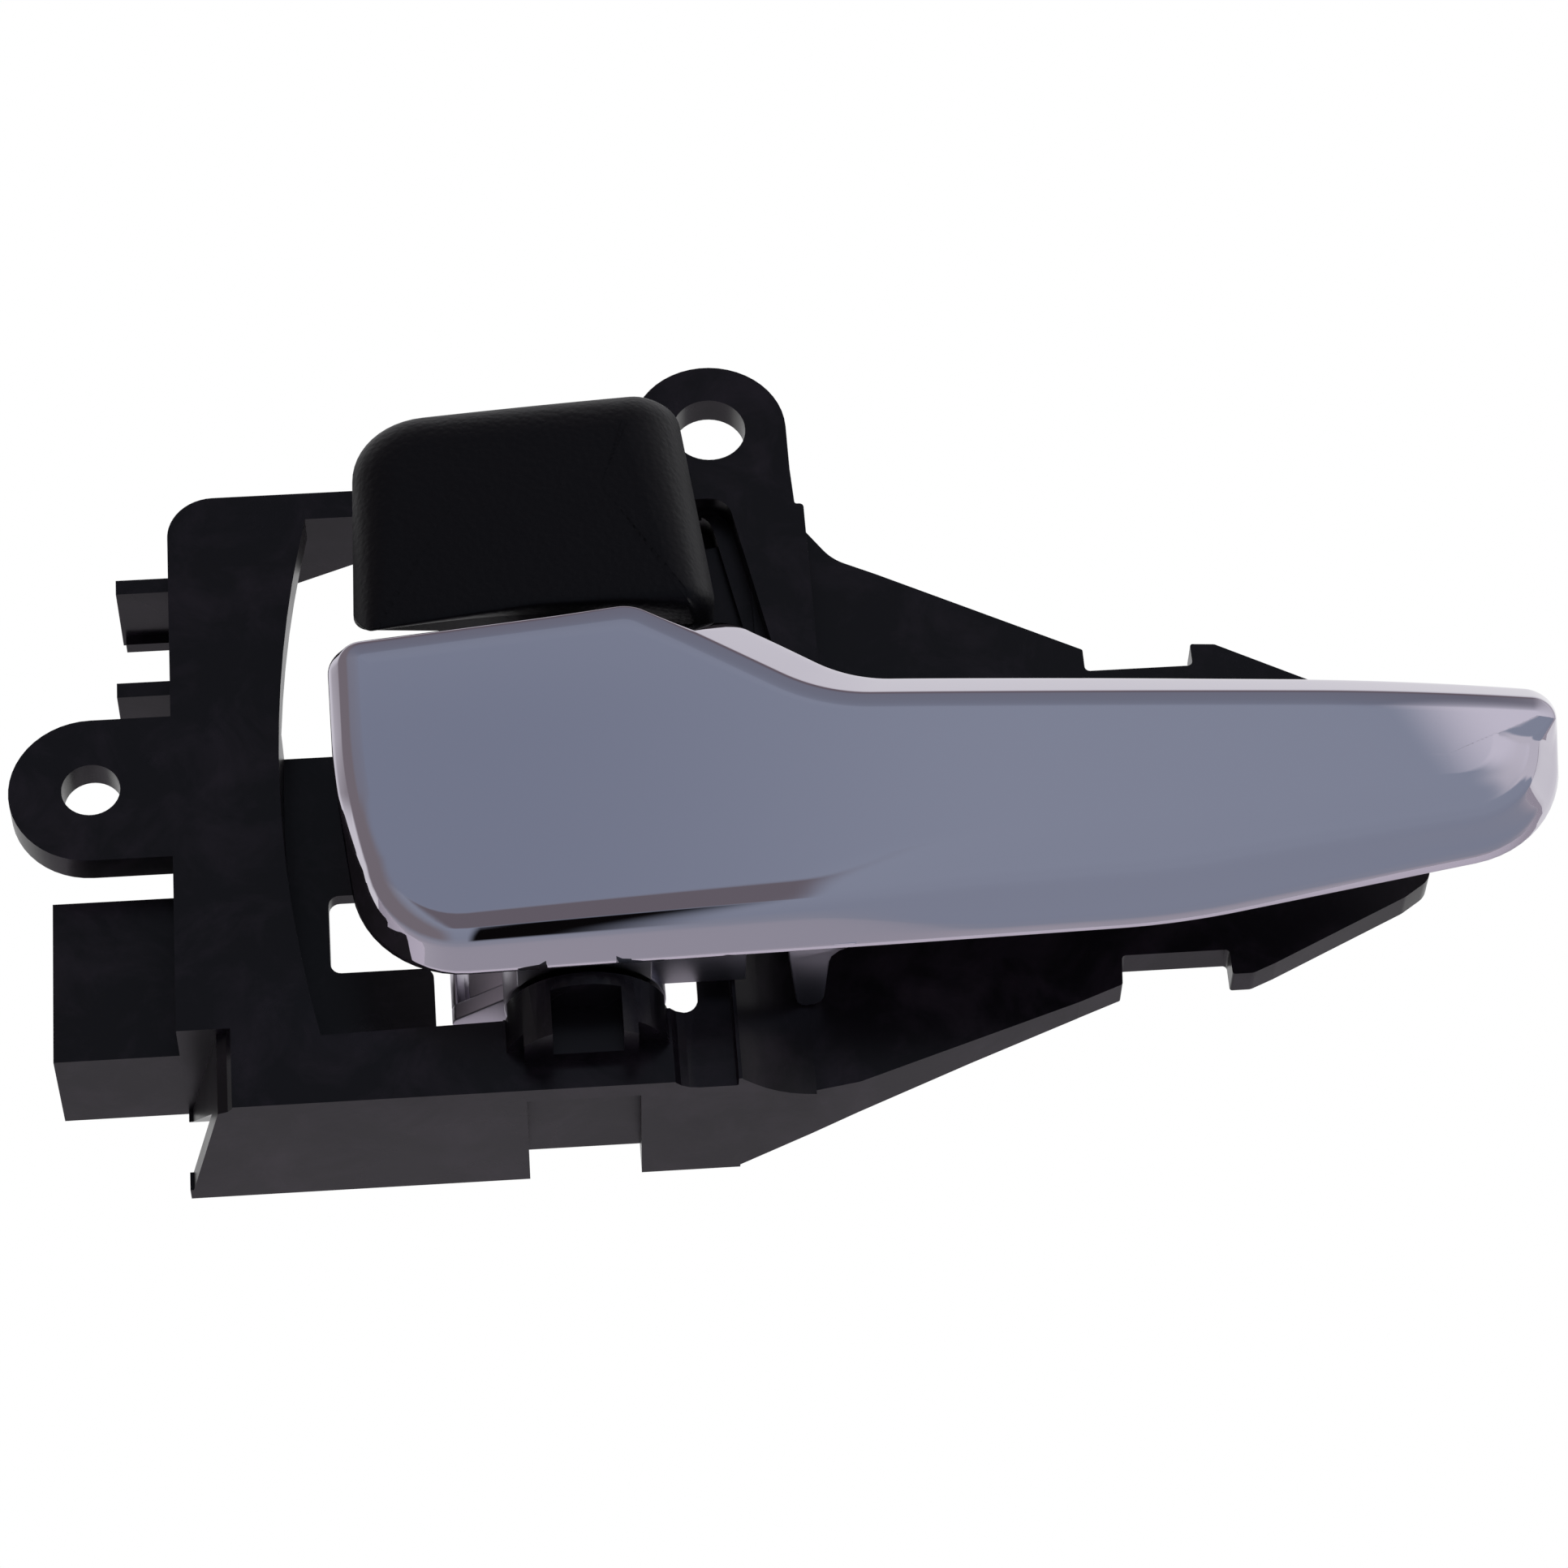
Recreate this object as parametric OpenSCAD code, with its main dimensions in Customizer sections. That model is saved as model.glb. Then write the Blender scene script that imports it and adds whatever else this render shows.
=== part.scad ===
// Inside release handle of a car door, for the left front door.
// A black moulded housing carries a plated pull lever and a grained lock knob on one upright pin.
// X runs along the lever, Y into the door, Z up. The origin is the centre of the left screw hole,
// on the front face of its ear.

/* [Screw ears] */
// Diameter of the left screw hole
left_hole_d = 6.5; // [5:0.1:8]
// Radius of the left ear round its hole
left_ear_r = 9.1; // [8:0.1:12]
// Diameter of the top screw hole
top_hole_d = 8.4; // [6:0.1:10]
// Radius of the top ear round its hole
top_ear_r = 8.9; // [8:0.1:12]
// Distance of the top hole to the right of the left hole
top_hole_x = 71.5; // [68:0.5:74]
// Height of the top hole above the left hole
top_hole_z = 44.4; // [42:0.2:50]
// Thickness of both ears
ear_t = 3.8; // [2.5:0.1:5]

/* [Housing] */
// Distance from the left hole to the left edge of the frame
frame_x = 8.9; // [8:0.1:11]
// Height of the frame's top edge over the left hole
frame_top_z = 38.4; // [37:0.2:42]
// Depth of the frame's bottom edge under the left hole
frame_bottom_z = 40.8; // [39.5:0.2:44]
// Radius of the frame's top left corner
frame_corner_r = 5.2; // [2:0.2:8]
// Thickness of the front face
face_t = 2.5; // [2:0.1:3.5]
// Thickness of the walls that run back into the door
wall_t = 2.2; // [1.6:0.1:3]
// Depth of the bottom wall
bottom_depth = 20.4; // [18:0.2:24]
// Depth of the top wall at the left end
top_depth = 13; // [11:0.2:16]
// Depth of the bay floor behind the left end of the lever
floor_depth = 9.2; // [8.6:0.1:11]
// Thickness of the bay floor
floor_t = 1.8; // [1.2:0.1:2.5]
// Radius of the bay's arched left wall
bay_r = 155; // [120:5:220]

/* [Right plate] */
// How far the right plate lies behind the frame's face
plate_set = 4.5; // [4:0.1:6]
// Thickness of the right plate
plate_t = 3.7; // [2.5:0.1:5]
// Distance from the left hole to the plate's right end
plate_end_x = 147.6; // [140:0.5:155]

/* [Cable holders] */
// Width of the block that holds the release cable
block_w = 13.7; // [11:0.1:16]
// Height of the cable block
block_h = 19.9; // [16:0.1:20.4]
// Depth of the cable block
block_depth = 13.4; // [12:0.1:14]
// Diameter of the release cable's sheath
sheath_d = 7; // [5:0.1:8]
// Clear height between the two clip tongues
tongue_gap = 12.1; // [10:0.1:13]
// Thickness of a clip tongue
tongue_t = 1.9; // [1.4:0.1:2.4]
// Length of a clip tongue beside the frame
tongue_l = 6.3; // [4:0.1:8]
// Depth of a clip tongue
tongue_depth = 10.6; // [9:0.1:12]

/* [Pivot] */
// Distance of the pivot pin to the right of the left hole
pin_x = 53; // [51:0.5:55]
// Distance of the pivot pin behind the frame's face
pin_y = 2; // [1:0.1:3]
// Diameter of the pivot pin
pin_d = 5; // [4:0.1:6]
// Radius of the lower pivot boss
boss_r = 9; // [8:0.1:9.2]
// Width of the slot in the front of the lower boss
boss_slot_w = 7.6; // [5:0.1:9]
// Running gap round the pin, all round
pin_gap = 0.05; // [0.03:0.01:0.1]
// Gap between parts that turn against each other, end to end
end_gap = 0.3; // [0.2:0.05:0.5]

/* [Lever] */
// Length of the lever from end to end
lever_l = 134.7; // [125:0.5:140]
// Distance of the lever's front face ahead of the frame's face
lever_front = 16.5; // [15:0.1:19]
// Distance of the lever's rear rim ahead of the frame's face
lever_rim = 8; // [7.6:0.1:9]
// Crown of the lever's front face
lever_crown = 1.2; // [0.5:0.1:2]
// Wall of the lever
lever_wall = 2.2; // [1.6:0.1:3]
// Outer radius of the lever's hub
hub_r = 8.8; // [7.5:0.1:8.9]
// Outside diameter of the hub bushes
bush_d = 7.4; // [6.8:0.1:8.4]

/* [Lock knob] */
// Distance of the knob's left end to the right of the left hole
knob_x = 30; // [28:0.5:32]
// Height of the knob's lower edge above the left hole
knob_z = 11.2; // [10.5:0.1:12]
// Length of the knob
knob_l = 40.1; // [36:0.1:42]
// Height of the knob
knob_h = 30.8; // [28:0.1:31]
// Distance of the knob's front face ahead of the frame's face
knob_front = 16; // [14:0.1:18]
// Wall of the knob cap
knob_wall = 2.4; // [1.8:0.1:3]
// Travel of the knob in degrees
knob_travel = 18; // [10:1:20]
// Outer radius of the carrier's hub
carrier_r = 5.6; // [4.6:0.1:6.5]

/* [Return spring] */
// Wire of the return spring
wire_d = 1.3; // [1:0.1:1.6]
// Coils of the return spring
coils = 6; // [4:1:8]

/* [Hidden] */
black = "#19181c";
arc_n = 6;

// Prism of a front outline between two depths
module slab(y0, y1) {
    translate([0, y1, 0]) rotate([90, 0, 0]) linear_extrude(y1 - y0) children();
}
// Prism of a plan outline between two heights
module column(z0, z1) {
    translate([0, 0, z0]) linear_extrude(z1 - z0) children();
}

function unit(v) = v / norm(v);
// Points of one filleted corner, from its neighbours before and after
function corner(p, q, r, n) =
    let (a = unit([p[0] - q[0], p[1] - q[1]]), b = unit([r[0] - q[0], r[1] - q[1]]),
         half = acos(max(-1, min(1, a * b))) / 2,
         reach = q[2] / tan(half),
         side = sign(a[0] * b[1] - a[1] * b[0]),
         mid = unit(a + b),
         c = [q[0], q[1]] + mid * (q[2] / sin(half)),
         start = [q[0], q[1]] + a * reach,
         a0 = atan2(start[1] - c[1], start[0] - c[0]),
         sweep = 180 - 2 * half)
    [for (i = [0:n]) c + q[2] * [cos(a0 - side * sweep * i / n), sin(a0 - side * sweep * i / n)]];
// Closed outline through corners given as [x, y, radius]
function rounded(v, n = arc_n) =
    [for (i = [0:len(v) - 1])
        each corner(v[(i + len(v) - 1) % len(v)], v[i], v[(i + 1) % len(v)], n)];
// The same corners moved inwards by a wall, for an outline that runs clockwise
function inset(v, d) =
    [for (i = [0:len(v) - 1])
        let (p = v[(i + len(v) - 1) % len(v)], q = v[i], r = v[(i + 1) % len(v)],
             a = unit([q[0] - p[0], q[1] - p[1]]), b = unit([r[0] - q[0], r[1] - q[1]]),
             na = [a[1], -a[0]], nb = [b[1], -b[0]],
             m = unit(na + nb), cross = a[0] * b[1] - a[1] * b[0])
        [q[0] + m[0] * d / (m * na), q[1] + m[1] * d / (m * na),
         cross < 0 ? max(0.4, q[2] - d) : q[2] + d]];

// Solid skin over a list of closed rings with equal counts of points, front ring first,
// closed by a fan to one tip at each end
module skin(rings, tips) {
    n = len(rings[0]);
    k = len(rings);
    polyhedron(
        points = concat([for (r = rings) each r], tips),
        faces = concat(
            [for (i = [0:n - 1]) [i, (i + 1) % n, k * n]],
            [for (j = [0:k - 2], i = [0:n - 1]) each
                let (a = j * n + i, b = j * n + (i + 1) % n, c = a + n, d = b + n)
                [[a, c, b], [b, c, d]]],
            [for (i = [0:n - 1]) [(k - 1) * n + (i + 1) % n, (k - 1) * n + i, k * n + 1]]),
        convexity = 10);
}

// Frame outline, clockwise from the bottom left, with the scoop at the lower left corner
frame_right = 81.6;
frame_step_z = frame_top_z - 4.9;
scoop_x = 14.7;
scoop_z = 9.7 - frame_bottom_z;
block_end_x = 69.3;
ramp_end_x = 75.8;
ramp_top = 20.8 - frame_bottom_z;
bay_left = 20.8;
bay_top = frame_top_z - 3.6;
bay_bottom = 8 - frame_bottom_z;
well_x = 36.7;
pocket_x = 72.9;
low_right_x = 65.2;
low_right_z = -24;
bar_top = 8.4;
bar_bottom = -9.9;
low_window_x = 25.4;
low_window_z = -19.8;
shelf_z = 3.3 - frame_bottom_z;
boss_top = shelf_z + 6.9;
shelf_x = [46.1, 58.4];

module frame_outline() {
    polygon(rounded([
        [frame_x, -frame_bottom_z, 0.5], [frame_x, frame_top_z, frame_corner_r],
        [top_hole_x + top_ear_r, frame_top_z, 0.3],
        [top_hole_x + top_ear_r + 0.2, frame_step_z, 0.3], [frame_right, frame_step_z, 0.5],
        [frame_right, 9, 4], [ramp_end_x, ramp_top, 3], [block_end_x, ramp_top - 0.6, 0.3],
        [block_end_x, -frame_bottom_z, 0.3]]));
}

// Bay behind the lever's left end, with its arched left wall, narrowed at the right by g
module bay_outline(g = 0) {
    intersection() {
        translate([bay_left + bay_r, 0.6]) circle(bay_r, $fn = 360);
        polygon(rounded([
            [bay_left - 5, bay_bottom, 0.5], [bay_left - 5, bay_top, 0.5],
            [pocket_x - g, bay_top, 2.6], [pocket_x + 3.8 - g, 14, 6],
            [pocket_x + 0.6 - g, low_right_z + 2, 2], [low_right_x - g, low_right_z, 1],
            [low_right_x - g, bay_bottom + 1.2, 1.8]]));
    }
}

// Openings through the bay floor
module floor_windows() {
    polygon(rounded([
        [bay_left - 4, bar_top, 0.5], [bay_left - 4, bay_top + 2, 0.5],
        [pocket_x + 9, bay_top + 2, 0.5], [pocket_x + 9, bar_top, 0.5]]));
    polygon(rounded([
        [low_window_x, low_window_z, 1.2], [low_window_x, bar_bottom, 1.2],
        [well_x + 3, bar_bottom, 0.5], [well_x + 3, bar_top + 1, 0.5],
        [pocket_x + 9, bar_top + 1, 0.5], [pocket_x + 9, bay_bottom - 2, 0.5],
        [well_x, bay_bottom - 2, 0.5], [well_x, low_window_z, 1.2]]));
}

// Plan outline of the walls behind the frame, cut back along the top
module top_wall_plan() {
    polygon([[frame_x, 0], [frame_x, top_depth], [bay_left + 2.2, top_depth],
        [bay_left + 9.6, top_depth - 3.7], [top_hole_x + top_ear_r, top_depth - 3.7],
        [top_hole_x + top_ear_r, 0]]);
}

right_bottom = [[block_end_x, -frame_bottom_z], [77.1, -40.4], [82.2, -39.6], [107, -31.3],
    [111.9, -29.4]];
notch_low = [112.2, 124.1, -25.8, -28.9];
notch_top = [112.1, 124.4, 11.5];

module right_outline() {
    polygon(rounded([
        [66, -frame_bottom_z, 0.5], [66, 30, 0.5], [frame_right, frame_step_z - 0.5, 0.3],
        [84.6, 28.6, 6], [89.5, 26.2, 4], [notch_top[0], 14.4, 0.3],
        [notch_top[0], notch_top[2], 0.6], [notch_top[1], notch_top[2], 0.6],
        [notch_top[1], 14.4, 0.3], [127.2, 14.2, 1], [plate_end_x - 0.4, 3.4, 2],
        [plate_end_x, -18.2, 2.4], [144.4, -20.4, 3],
        [129, -27.8, 3], [126.4, -28.9, 1.5], [notch_low[1], notch_low[3], 0.3],
        [notch_low[1], notch_low[2], 0.5], [notch_low[0], notch_low[2], 0.5],
        [right_bottom[4][0], right_bottom[4][1], 0.3], [right_bottom[3][0], right_bottom[3][1], 3],
        [right_bottom[2][0], right_bottom[2][1], 8], [right_bottom[1][0], right_bottom[1][1], 5],
        [block_end_x, -frame_bottom_z, 0.3]]));
}

// Flange along the right plate's bottom edge, its depth falling to the right
module right_flange() {
    intersection() {
        slab(plate_set, bottom_depth) polygon([
            [66, -frame_bottom_z], right_bottom[0], right_bottom[1], right_bottom[2],
            right_bottom[3], right_bottom[3] + [-0.6, wall_t],
            right_bottom[2] + [-0.4, wall_t], right_bottom[1] + [0, wall_t],
            [66, wall_t - frame_bottom_z]]);
        column(-frame_bottom_z - 1, 0) polygon([[60, 0], [60, bottom_depth],
            [block_end_x - 0.7, bottom_depth], [77.1, bottom_depth - 6.1],
            [82.2, bottom_depth - 8.9], [95, plate_set + plate_t + 1.4],
            [107.2, plate_set + plate_t], [107.2, 0]]);
    }
}

// Raised face from the pocket to the right plate, falling back in a ramp at its foot
module ramp() {
    column(-frame_bottom_z, ramp_top + 0.5) polygon([
        [block_end_x - 0.6, 0], [block_end_x, 0.1], [block_end_x + 0.5, 0.6], [block_end_x + 1.3, 1.4],
        [block_end_x + 2.5, 2.4], [block_end_x + 3.9, 3.3], [block_end_x + 5.2, 3.9],
        [ramp_end_x + 0.2, plate_set - 0.2], [ramp_end_x + 1.6, plate_set],
        [ramp_end_x + 1.6, plate_set + plate_t], [block_end_x - 0.6, plate_set + plate_t]]);
}

module left_ear() {
    slab(0, ear_t) {
        circle(left_ear_r, $fn = 96);
        translate([0, -left_ear_r]) square([frame_x + 1, 2 * left_ear_r]);
    }
}

module top_ear() {
    slab(0, ear_t) {
        translate([top_hole_x, top_hole_z]) circle(top_ear_r, $fn = 96);
        translate([top_hole_x - top_ear_r, frame_top_z - 4]) square(
            [2 * top_ear_r, top_hole_z - frame_top_z + 4]);
    }
}

block_y = bottom_depth - 1 - block_depth;
cable_y = block_y + block_depth / 2;
release_z = scoop_z + 0.3 + block_h / 2;
module cable_block() {
    difference() {
        translate([frame_x - block_w, block_y, scoop_z + 0.3])
            cube([block_w + wall_t, block_depth, block_h]);
        translate([frame_x - block_w - 1, cable_y, release_z]) rotate([0, 90, 0])
            cylinder(d = sheath_d, h = block_w - 2, $fn = 48);
        translate([frame_x - block_w - 1, cable_y - 1.6, release_z - 1.6])
            cube([block_w + wall_t + 3, 3.2, 3.2]);
        translate([frame_x - block_w + 3, cable_y - sheath_d / 2, release_z - sheath_d / 2])
            cube([4, block_depth, sheath_d]);
    }
}

tongue_y = 5;
lock_z = frame_top_z - 15.3;
module clip_tongue(z, lip) {
    translate([frame_x - tongue_l, tongue_y, z]) cube([tongue_l + 1, tongue_depth, tongue_t]);
    translate([frame_x - tongue_l + 0.4, tongue_y + tongue_depth - 1.6, z + (lip < 0 ? -1 : 0)])
        cube([tongue_l + 0.6, 1.6, tongue_t + 1]);
}

// Lower pivot boss, a half drum that stands ahead of the face, with a cored slot
module lower_boss() {
    column(shelf_z + 1.5, boss_top) {
        translate([pin_x, pin_y]) circle(boss_r, $fn = 96);
        translate([pin_x - boss_r, pin_y]) square([2 * boss_r, 7]);
    }
    column(shelf_z, shelf_z + 1.6) intersection() {
        translate([pin_x, pin_y]) circle(boss_r, $fn = 96);
        translate([shelf_x[0], pin_y - boss_r]) square([shelf_x[1] - shelf_x[0], 2 * boss_r]);
    }
    column(shelf_z, shelf_z + wall_t) translate([shelf_x[0], 0])
        square([shelf_x[1] - shelf_x[0], bottom_depth - 0.6]);
    for (x = [shelf_x[0] - wall_t, shelf_x[1]]) column(-frame_bottom_z, shelf_z + 4)
        translate([x, 0]) square([wall_t, bottom_depth]);
}

module housing_body() {
    slab(0, face_t) frame_outline();
    left_ear();
    top_ear();
    // walls round the frame
    difference() {
        column(0, frame_top_z) top_wall_plan();
        slab(-1, 40) polygon(rounded([
            [frame_x + wall_t, -50, 0.5], [frame_x + wall_t, bay_top, frame_corner_r - wall_t],
            [frame_right - wall_t, bay_top, 1], [frame_right - wall_t, -50, 0.5]]));
        difference() {
            slab(-1, 40) translate([frame_x - 1, frame_top_z - frame_corner_r])
                square([frame_corner_r + 1, frame_corner_r + 1]);
            slab(-2, 41) translate([frame_x + frame_corner_r, frame_top_z - frame_corner_r])
                circle(frame_corner_r, $fn = 64);
        }
    }
    column(-frame_bottom_z, 0) polygon([[frame_x, 0], [frame_x, bottom_depth - 1],
        [frame_x + wall_t, bottom_depth - 1], [frame_x + wall_t, 0]]);
    column(-frame_bottom_z, wall_t - frame_bottom_z) translate([frame_x, 0])
        square([shelf_x[0] - frame_x, bottom_depth]);
    // walls round the scoop
    column(-frame_bottom_z, scoop_z + wall_t) polygon([[frame_x, 0], [scoop_x + wall_t, 0],
        [scoop_x + wall_t, face_t], [scoop_x + 0.4, face_t + 2], [frame_x + wall_t + 0.3, bottom_depth - 1],
        [frame_x, bottom_depth - 1]]);
    column(-frame_bottom_z, wall_t - frame_bottom_z) translate([shelf_x[1], 0])
        square([block_end_x - shelf_x[1], bottom_depth]);
    // arched wall, floor and cross wall of the bay
    for (part = [[floor_depth + floor_t, bay_bottom - wall_t, bar_top], [4, 0, bay_top + 2]])
        slab(0, part[0]) difference() {
            intersection() {
                translate([bay_left + bay_r, 0.6]) circle(bay_r + wall_t, $fn = 360);
                translate([bay_left - wall_t - 0.5, part[1]]) square([10, part[2] - part[1]]);
            }
            translate([bay_left + bay_r, 0.6]) circle(bay_r, $fn = 360);
        }
    slab(floor_depth, floor_depth + floor_t) difference() {
        bay_outline();
        floor_windows();
    }
    // stepped wall of the pocket behind the knob's right end
    for (k = [1:3]) slab((k - 1) * pocket_step, floor_depth + floor_t) intersection() {
        difference() {
            bay_outline(-wall_t);
            bay_outline((k - 1) * pocket_in);
        }
        translate([pocket_x - 6, bar_top]) square([20, bay_top - bar_top + 1]);
    }
    slab(0, floor_depth + floor_t) translate([bay_left, bay_bottom - wall_t])
        square([well_x + 4 - bay_left, wall_t]);
    right_face();
    cable_block();
    clip_tongue(lock_z + tongue_gap / 2, -1);
    clip_tongue(lock_z - tongue_gap / 2 - tongue_t, 1);
    lower_boss();
    upper_boss();
    leaf_posts();
}

pocket_step = 3.2;
pocket_in = 2.1;
module right_face() {
    slab(plate_set, plate_set + plate_t) right_outline();
    // raised band between the pocket and the right plate
    slab(0, plate_set + plate_t) difference() {
        intersection() {
            frame_outline();
            translate([pocket_x + 2, -frame_bottom_z]) square([12, frame_step_z + frame_bottom_z]);
        }
        translate([0, -60]) square([plate_end_x, 60 + ramp_top]);
    }
    ramp();
    right_flange();
    // stiffening ribs on the back of the right plate
    for (x = [92, 106, 128]) slab(plate_set + plate_t - 1, plate_set + plate_t + 2.5)
        translate([x, -22]) square([1.6, 28]);
}

boss_up_r = pin_d / 2 + 3;
module upper_boss() {
    column(bay_top, frame_top_z) translate([pin_x, 0]) {
        translate([0, pin_y]) circle(boss_up_r + 1, $fn = 64);
        translate([-boss_up_r - 1, 0]) square([2 * boss_up_r + 2, floor_depth]);
    }
}

pin_bottom = shelf_z + 2.2;
head_t = 1.4;
head_d = pin_d + 3;
module housing() color(black) difference() {
    housing_body();
    // bay through the front face
    slab(-1, face_t + 0.01) bay_outline();
    slab(-1, floor_depth) intersection() {
        bay_outline();
        translate([bay_left - 4, bay_bottom]) square([well_x - bay_left + 6, bay_top - bay_bottom]);
    }
    // shallow recess beside the boss, rounded at its left
    column(-frame_bottom_z - 1, ramp_top) polygon([[block_end_x - 7.2, -1], [block_end_x - 7.2, 0.1],
        [block_end_x - 6.6, 0.8], [block_end_x - 5.7, 1.3], [block_end_x - 4.6, 1.5],
        [block_end_x - 0.6, 1.5], [block_end_x - 0.4, 1.3], [block_end_x - 0.4, -1]]);
    // gap in the left wall for the lock cable
    translate([frame_x - 1, tongue_y + 3.6, lock_z - 1.7]) cube([wall_t + 2, 20, 3.4]);
    // scooped lower left corner
    column(-frame_bottom_z - 1, scoop_z) polygon([[frame_x - 2, -1], [scoop_x, -1],
        [scoop_x, 0.3], [scoop_x - 0.5, 0.9], [scoop_x - 1.6, 1.3], [frame_x + 0.4, bottom_depth - 2],
        [frame_x - 2, bottom_depth - 2]]);
    // open corner under the scoop's gusset
    translate([frame_x - 1, 0]) rotate([90, 0, 90]) linear_extrude(scoop_x + wall_t + 1.2 - frame_x)
        polygon([[5.3, wall_t - frame_bottom_z], [bottom_depth + 1, wall_t - frame_bottom_z],
            [bottom_depth + 1, scoop_z + 0.2]]);
    // screw holes
    slab(-1, 20) circle(d = left_hole_d, $fn = 64);
    slab(-1, 20) translate([top_hole_x, top_hole_z]) circle(d = top_hole_d, $fn = 64);
    // pin bores and the head's seat
    translate([pin_x, pin_y, pin_bottom]) cylinder(d = pin_d + 2 * pin_gap, h = 90, $fn = 64);
    translate([pin_x, pin_y, frame_top_z - head_t - 0.1]) cylinder(d = head_d + 0.6, h = 5, $fn = 64);
    // cored slot of the lower boss
    translate([pin_x - boss_slot_w / 2, pin_y - boss_r - 1, shelf_z - 1])
        cube([boss_slot_w, 6.3, boss_top - shelf_z - 0.5]);
    // way of the release cable
    translate([frame_x - 1, cable_y - 1.6, release_z - 1.6]) cube([14, 3.2, 3.2]);
}

// Lever outlines, clockwise from the top left: [x, z, corner radius], then the bevel flag
lever_x = 27;
lever_end = lever_x + lever_l;
lever_rear = [[lever_x, 6.9, 3.4], [71.6, 10.4, 7], [84, 1.1, 16], [lever_end, -3.4, 3.4],
    [lever_end - 1.7, -22.4, 13], [117, -29.5, 90], [lever_x + 2.9, -31, 12],
    [lever_x + 0.2, -8, 60]];
lever_face = [[lever_x + 2.7, 6.1, 2.6], [59.6, 9.2, 3], [77.6, -2.6, 9], [lever_end - 3, -6.6, 2.6],
    [lever_end - 4.2, -20, 10.5], [117, -26.6, 90], [lever_x + 5.8, -28, 7],
    [lever_x + 3, -8, 60]];
// 1 where the edge between face and rear outline is a straight bevel, 0 where it is round
bevel_of = [0.3, 1, 1, 0.8, 0, 0, 0, 0];
lever_edge = 5;
face_rings = [0.9, 0.62, 0.3];

function spine(p, x0, x1, z0, z1) =
    let (x = max(x0, min(x1, p[0]))) [x, z0 + (z1 - z0) * (x - x0) / (x1 - x0)];
function flag(i) = bevel_of[floor(i / (arc_n + 1))];
// Rings of the lever from its crowned face to its rear rim, moved in by a wall w
function lever_rings(w) =
    let (o = rounded(inset(lever_rear, w)), f = rounded(inset(lever_face, w)), n = len(o),
         yf = -lever_front + w, yo = -lever_front + lever_edge + w * 0.4)
    concat(
        [for (t = face_rings) [for (i = [0:n - 1])
            let (s = spine(f[i], lever_x + 20, lever_end - 14, -10, -14), p = f[i] + (s - f[i]) * t)
            [p[0], yf - lever_crown * (1 - (1 - t) * (1 - t)), p[1]]]],
        [for (a = [0:18:90]) [for (i = [0:n - 1])
            let (k = (1 - sin(a)) * (1 - flag(i)) + (cos(a) * 0.5 + (1 - sin(a)) * 0.5) * flag(i),
                 p = o[i] + (f[i] - o[i]) * k)
            [p[0], yf + (yo - yf) * (1 - cos(a)), p[1]]]],
        [[for (p = o) [p[0], -lever_rim + (w > 0 ? 1 : 0), p[1]]]]);

// Solid form of the lever, moved in by a wall w
module lever_skin(w) {
    mid = [lever_x + 51, -11.8];
    skin(lever_rings(w), [
        [mid[0], -lever_front + w - lever_crown, mid[1]],
        [mid[0], -lever_rim + (w > 0 ? 1 : 0), mid[1]]]);
}

root_y = -lever_front - lever_crown + lever_wall - 0.7;
lug_low = [boss_top + 1, boss_top + 7.6];
lug_up = [-3, 5.8];
flange_t = 0.8;
module lug(z) {
    column(z[0], z[1]) translate([pin_x, pin_y]) circle(hub_r, $fn = 96);
    column(z[0], z[1]) translate([pin_x - hub_r + 1.5, root_y])
        square([2 * hub_r - 3, pin_y - root_y]);
}

// Return spring: its coil's radius, lower end and pitch
coil_r = pin_d / 2 + 1.2 + wire_d / 2;
coil_z = -18.3;
coil_pitch = wire_d + 0.35;
coil_steps = 16;

arm_r = 14;
arm_a = 54;
arm_z = [lug_low[0] + 2.6, coil_z - wire_d / 2 - end_gap];
lock_arm_r = 10.4;
lock_arm_a = 14;
finger_x = [75.6, 78.8];
// Lugs, web, spine, cable arm and stop finger, still without their holes
module lever_frame() {
    lug(lug_low);
    lug(lug_up);
    // web from the lower lug to the grip
    column(lug_low[0] + 0.6, lug_low[1]) translate([pin_x, root_y])
        square([17.5, -0.5 - root_y]);
    // spine that joins the lugs behind the face
    column(lug_low[0] + 0.6, lug_up[1]) translate([pin_x - hub_r + 1.5, root_y])
        square([2 * hub_r - 3, 3.4]);
    // cable arm behind the pivot
    column(arm_z[0], arm_z[1]) translate([pin_x, pin_y]) rotate(arm_a)
        translate([-3.2, 0]) square([6.4, arm_r + 2.5]);
    // stop finger that rests against the right plate
    column(lug_low[0] - 0.9, lug_low[0] + 1.3) polygon([
        [finger_x[0] - 0.7, root_y], [finger_x[1] + 0.4, root_y],
        [finger_x[1] + 0.1, plate_set - end_gap - 1.2], [finger_x[1] - 0.9, plate_set - end_gap],
        [finger_x[0] + 0.9, plate_set - end_gap], [finger_x[0] + 0.3, plate_set - end_gap - 1]]);
}

module lever() color("#8e92a0") difference() {
    union() {
        difference() {
            lever_skin(0);
            lever_skin(lever_wall);
        }
        // ahead of the rim the frame stays inside the shell's skin
        intersection() {
            lever_frame();
            union() {
                lever_skin(0);
                column(-50, 20) translate([0, -lever_rim - 0.01]) square([lever_end, 60]);
            }
        }
    }
    translate([pin_x, pin_y, -40]) cylinder(d = bush_d, h = 60, $fn = 64);
    // hole for the spring's tail
    translate([pin_x, pin_y - coil_r, lug_low[1] - 3]) cylinder(d = wire_d + 0.4, h = 8, $fn = 32);
    // seat of the cable's end
    translate([pin_x - arm_r * sin(arm_a), pin_y + arm_r * cos(arm_a), arm_z[0] + 2]) {
        cylinder(d = 3.6, h = 12, $fn = 32);
        translate([-8, -0.8, 0]) cube([8, 1.6, 12]);
    }
}

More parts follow.
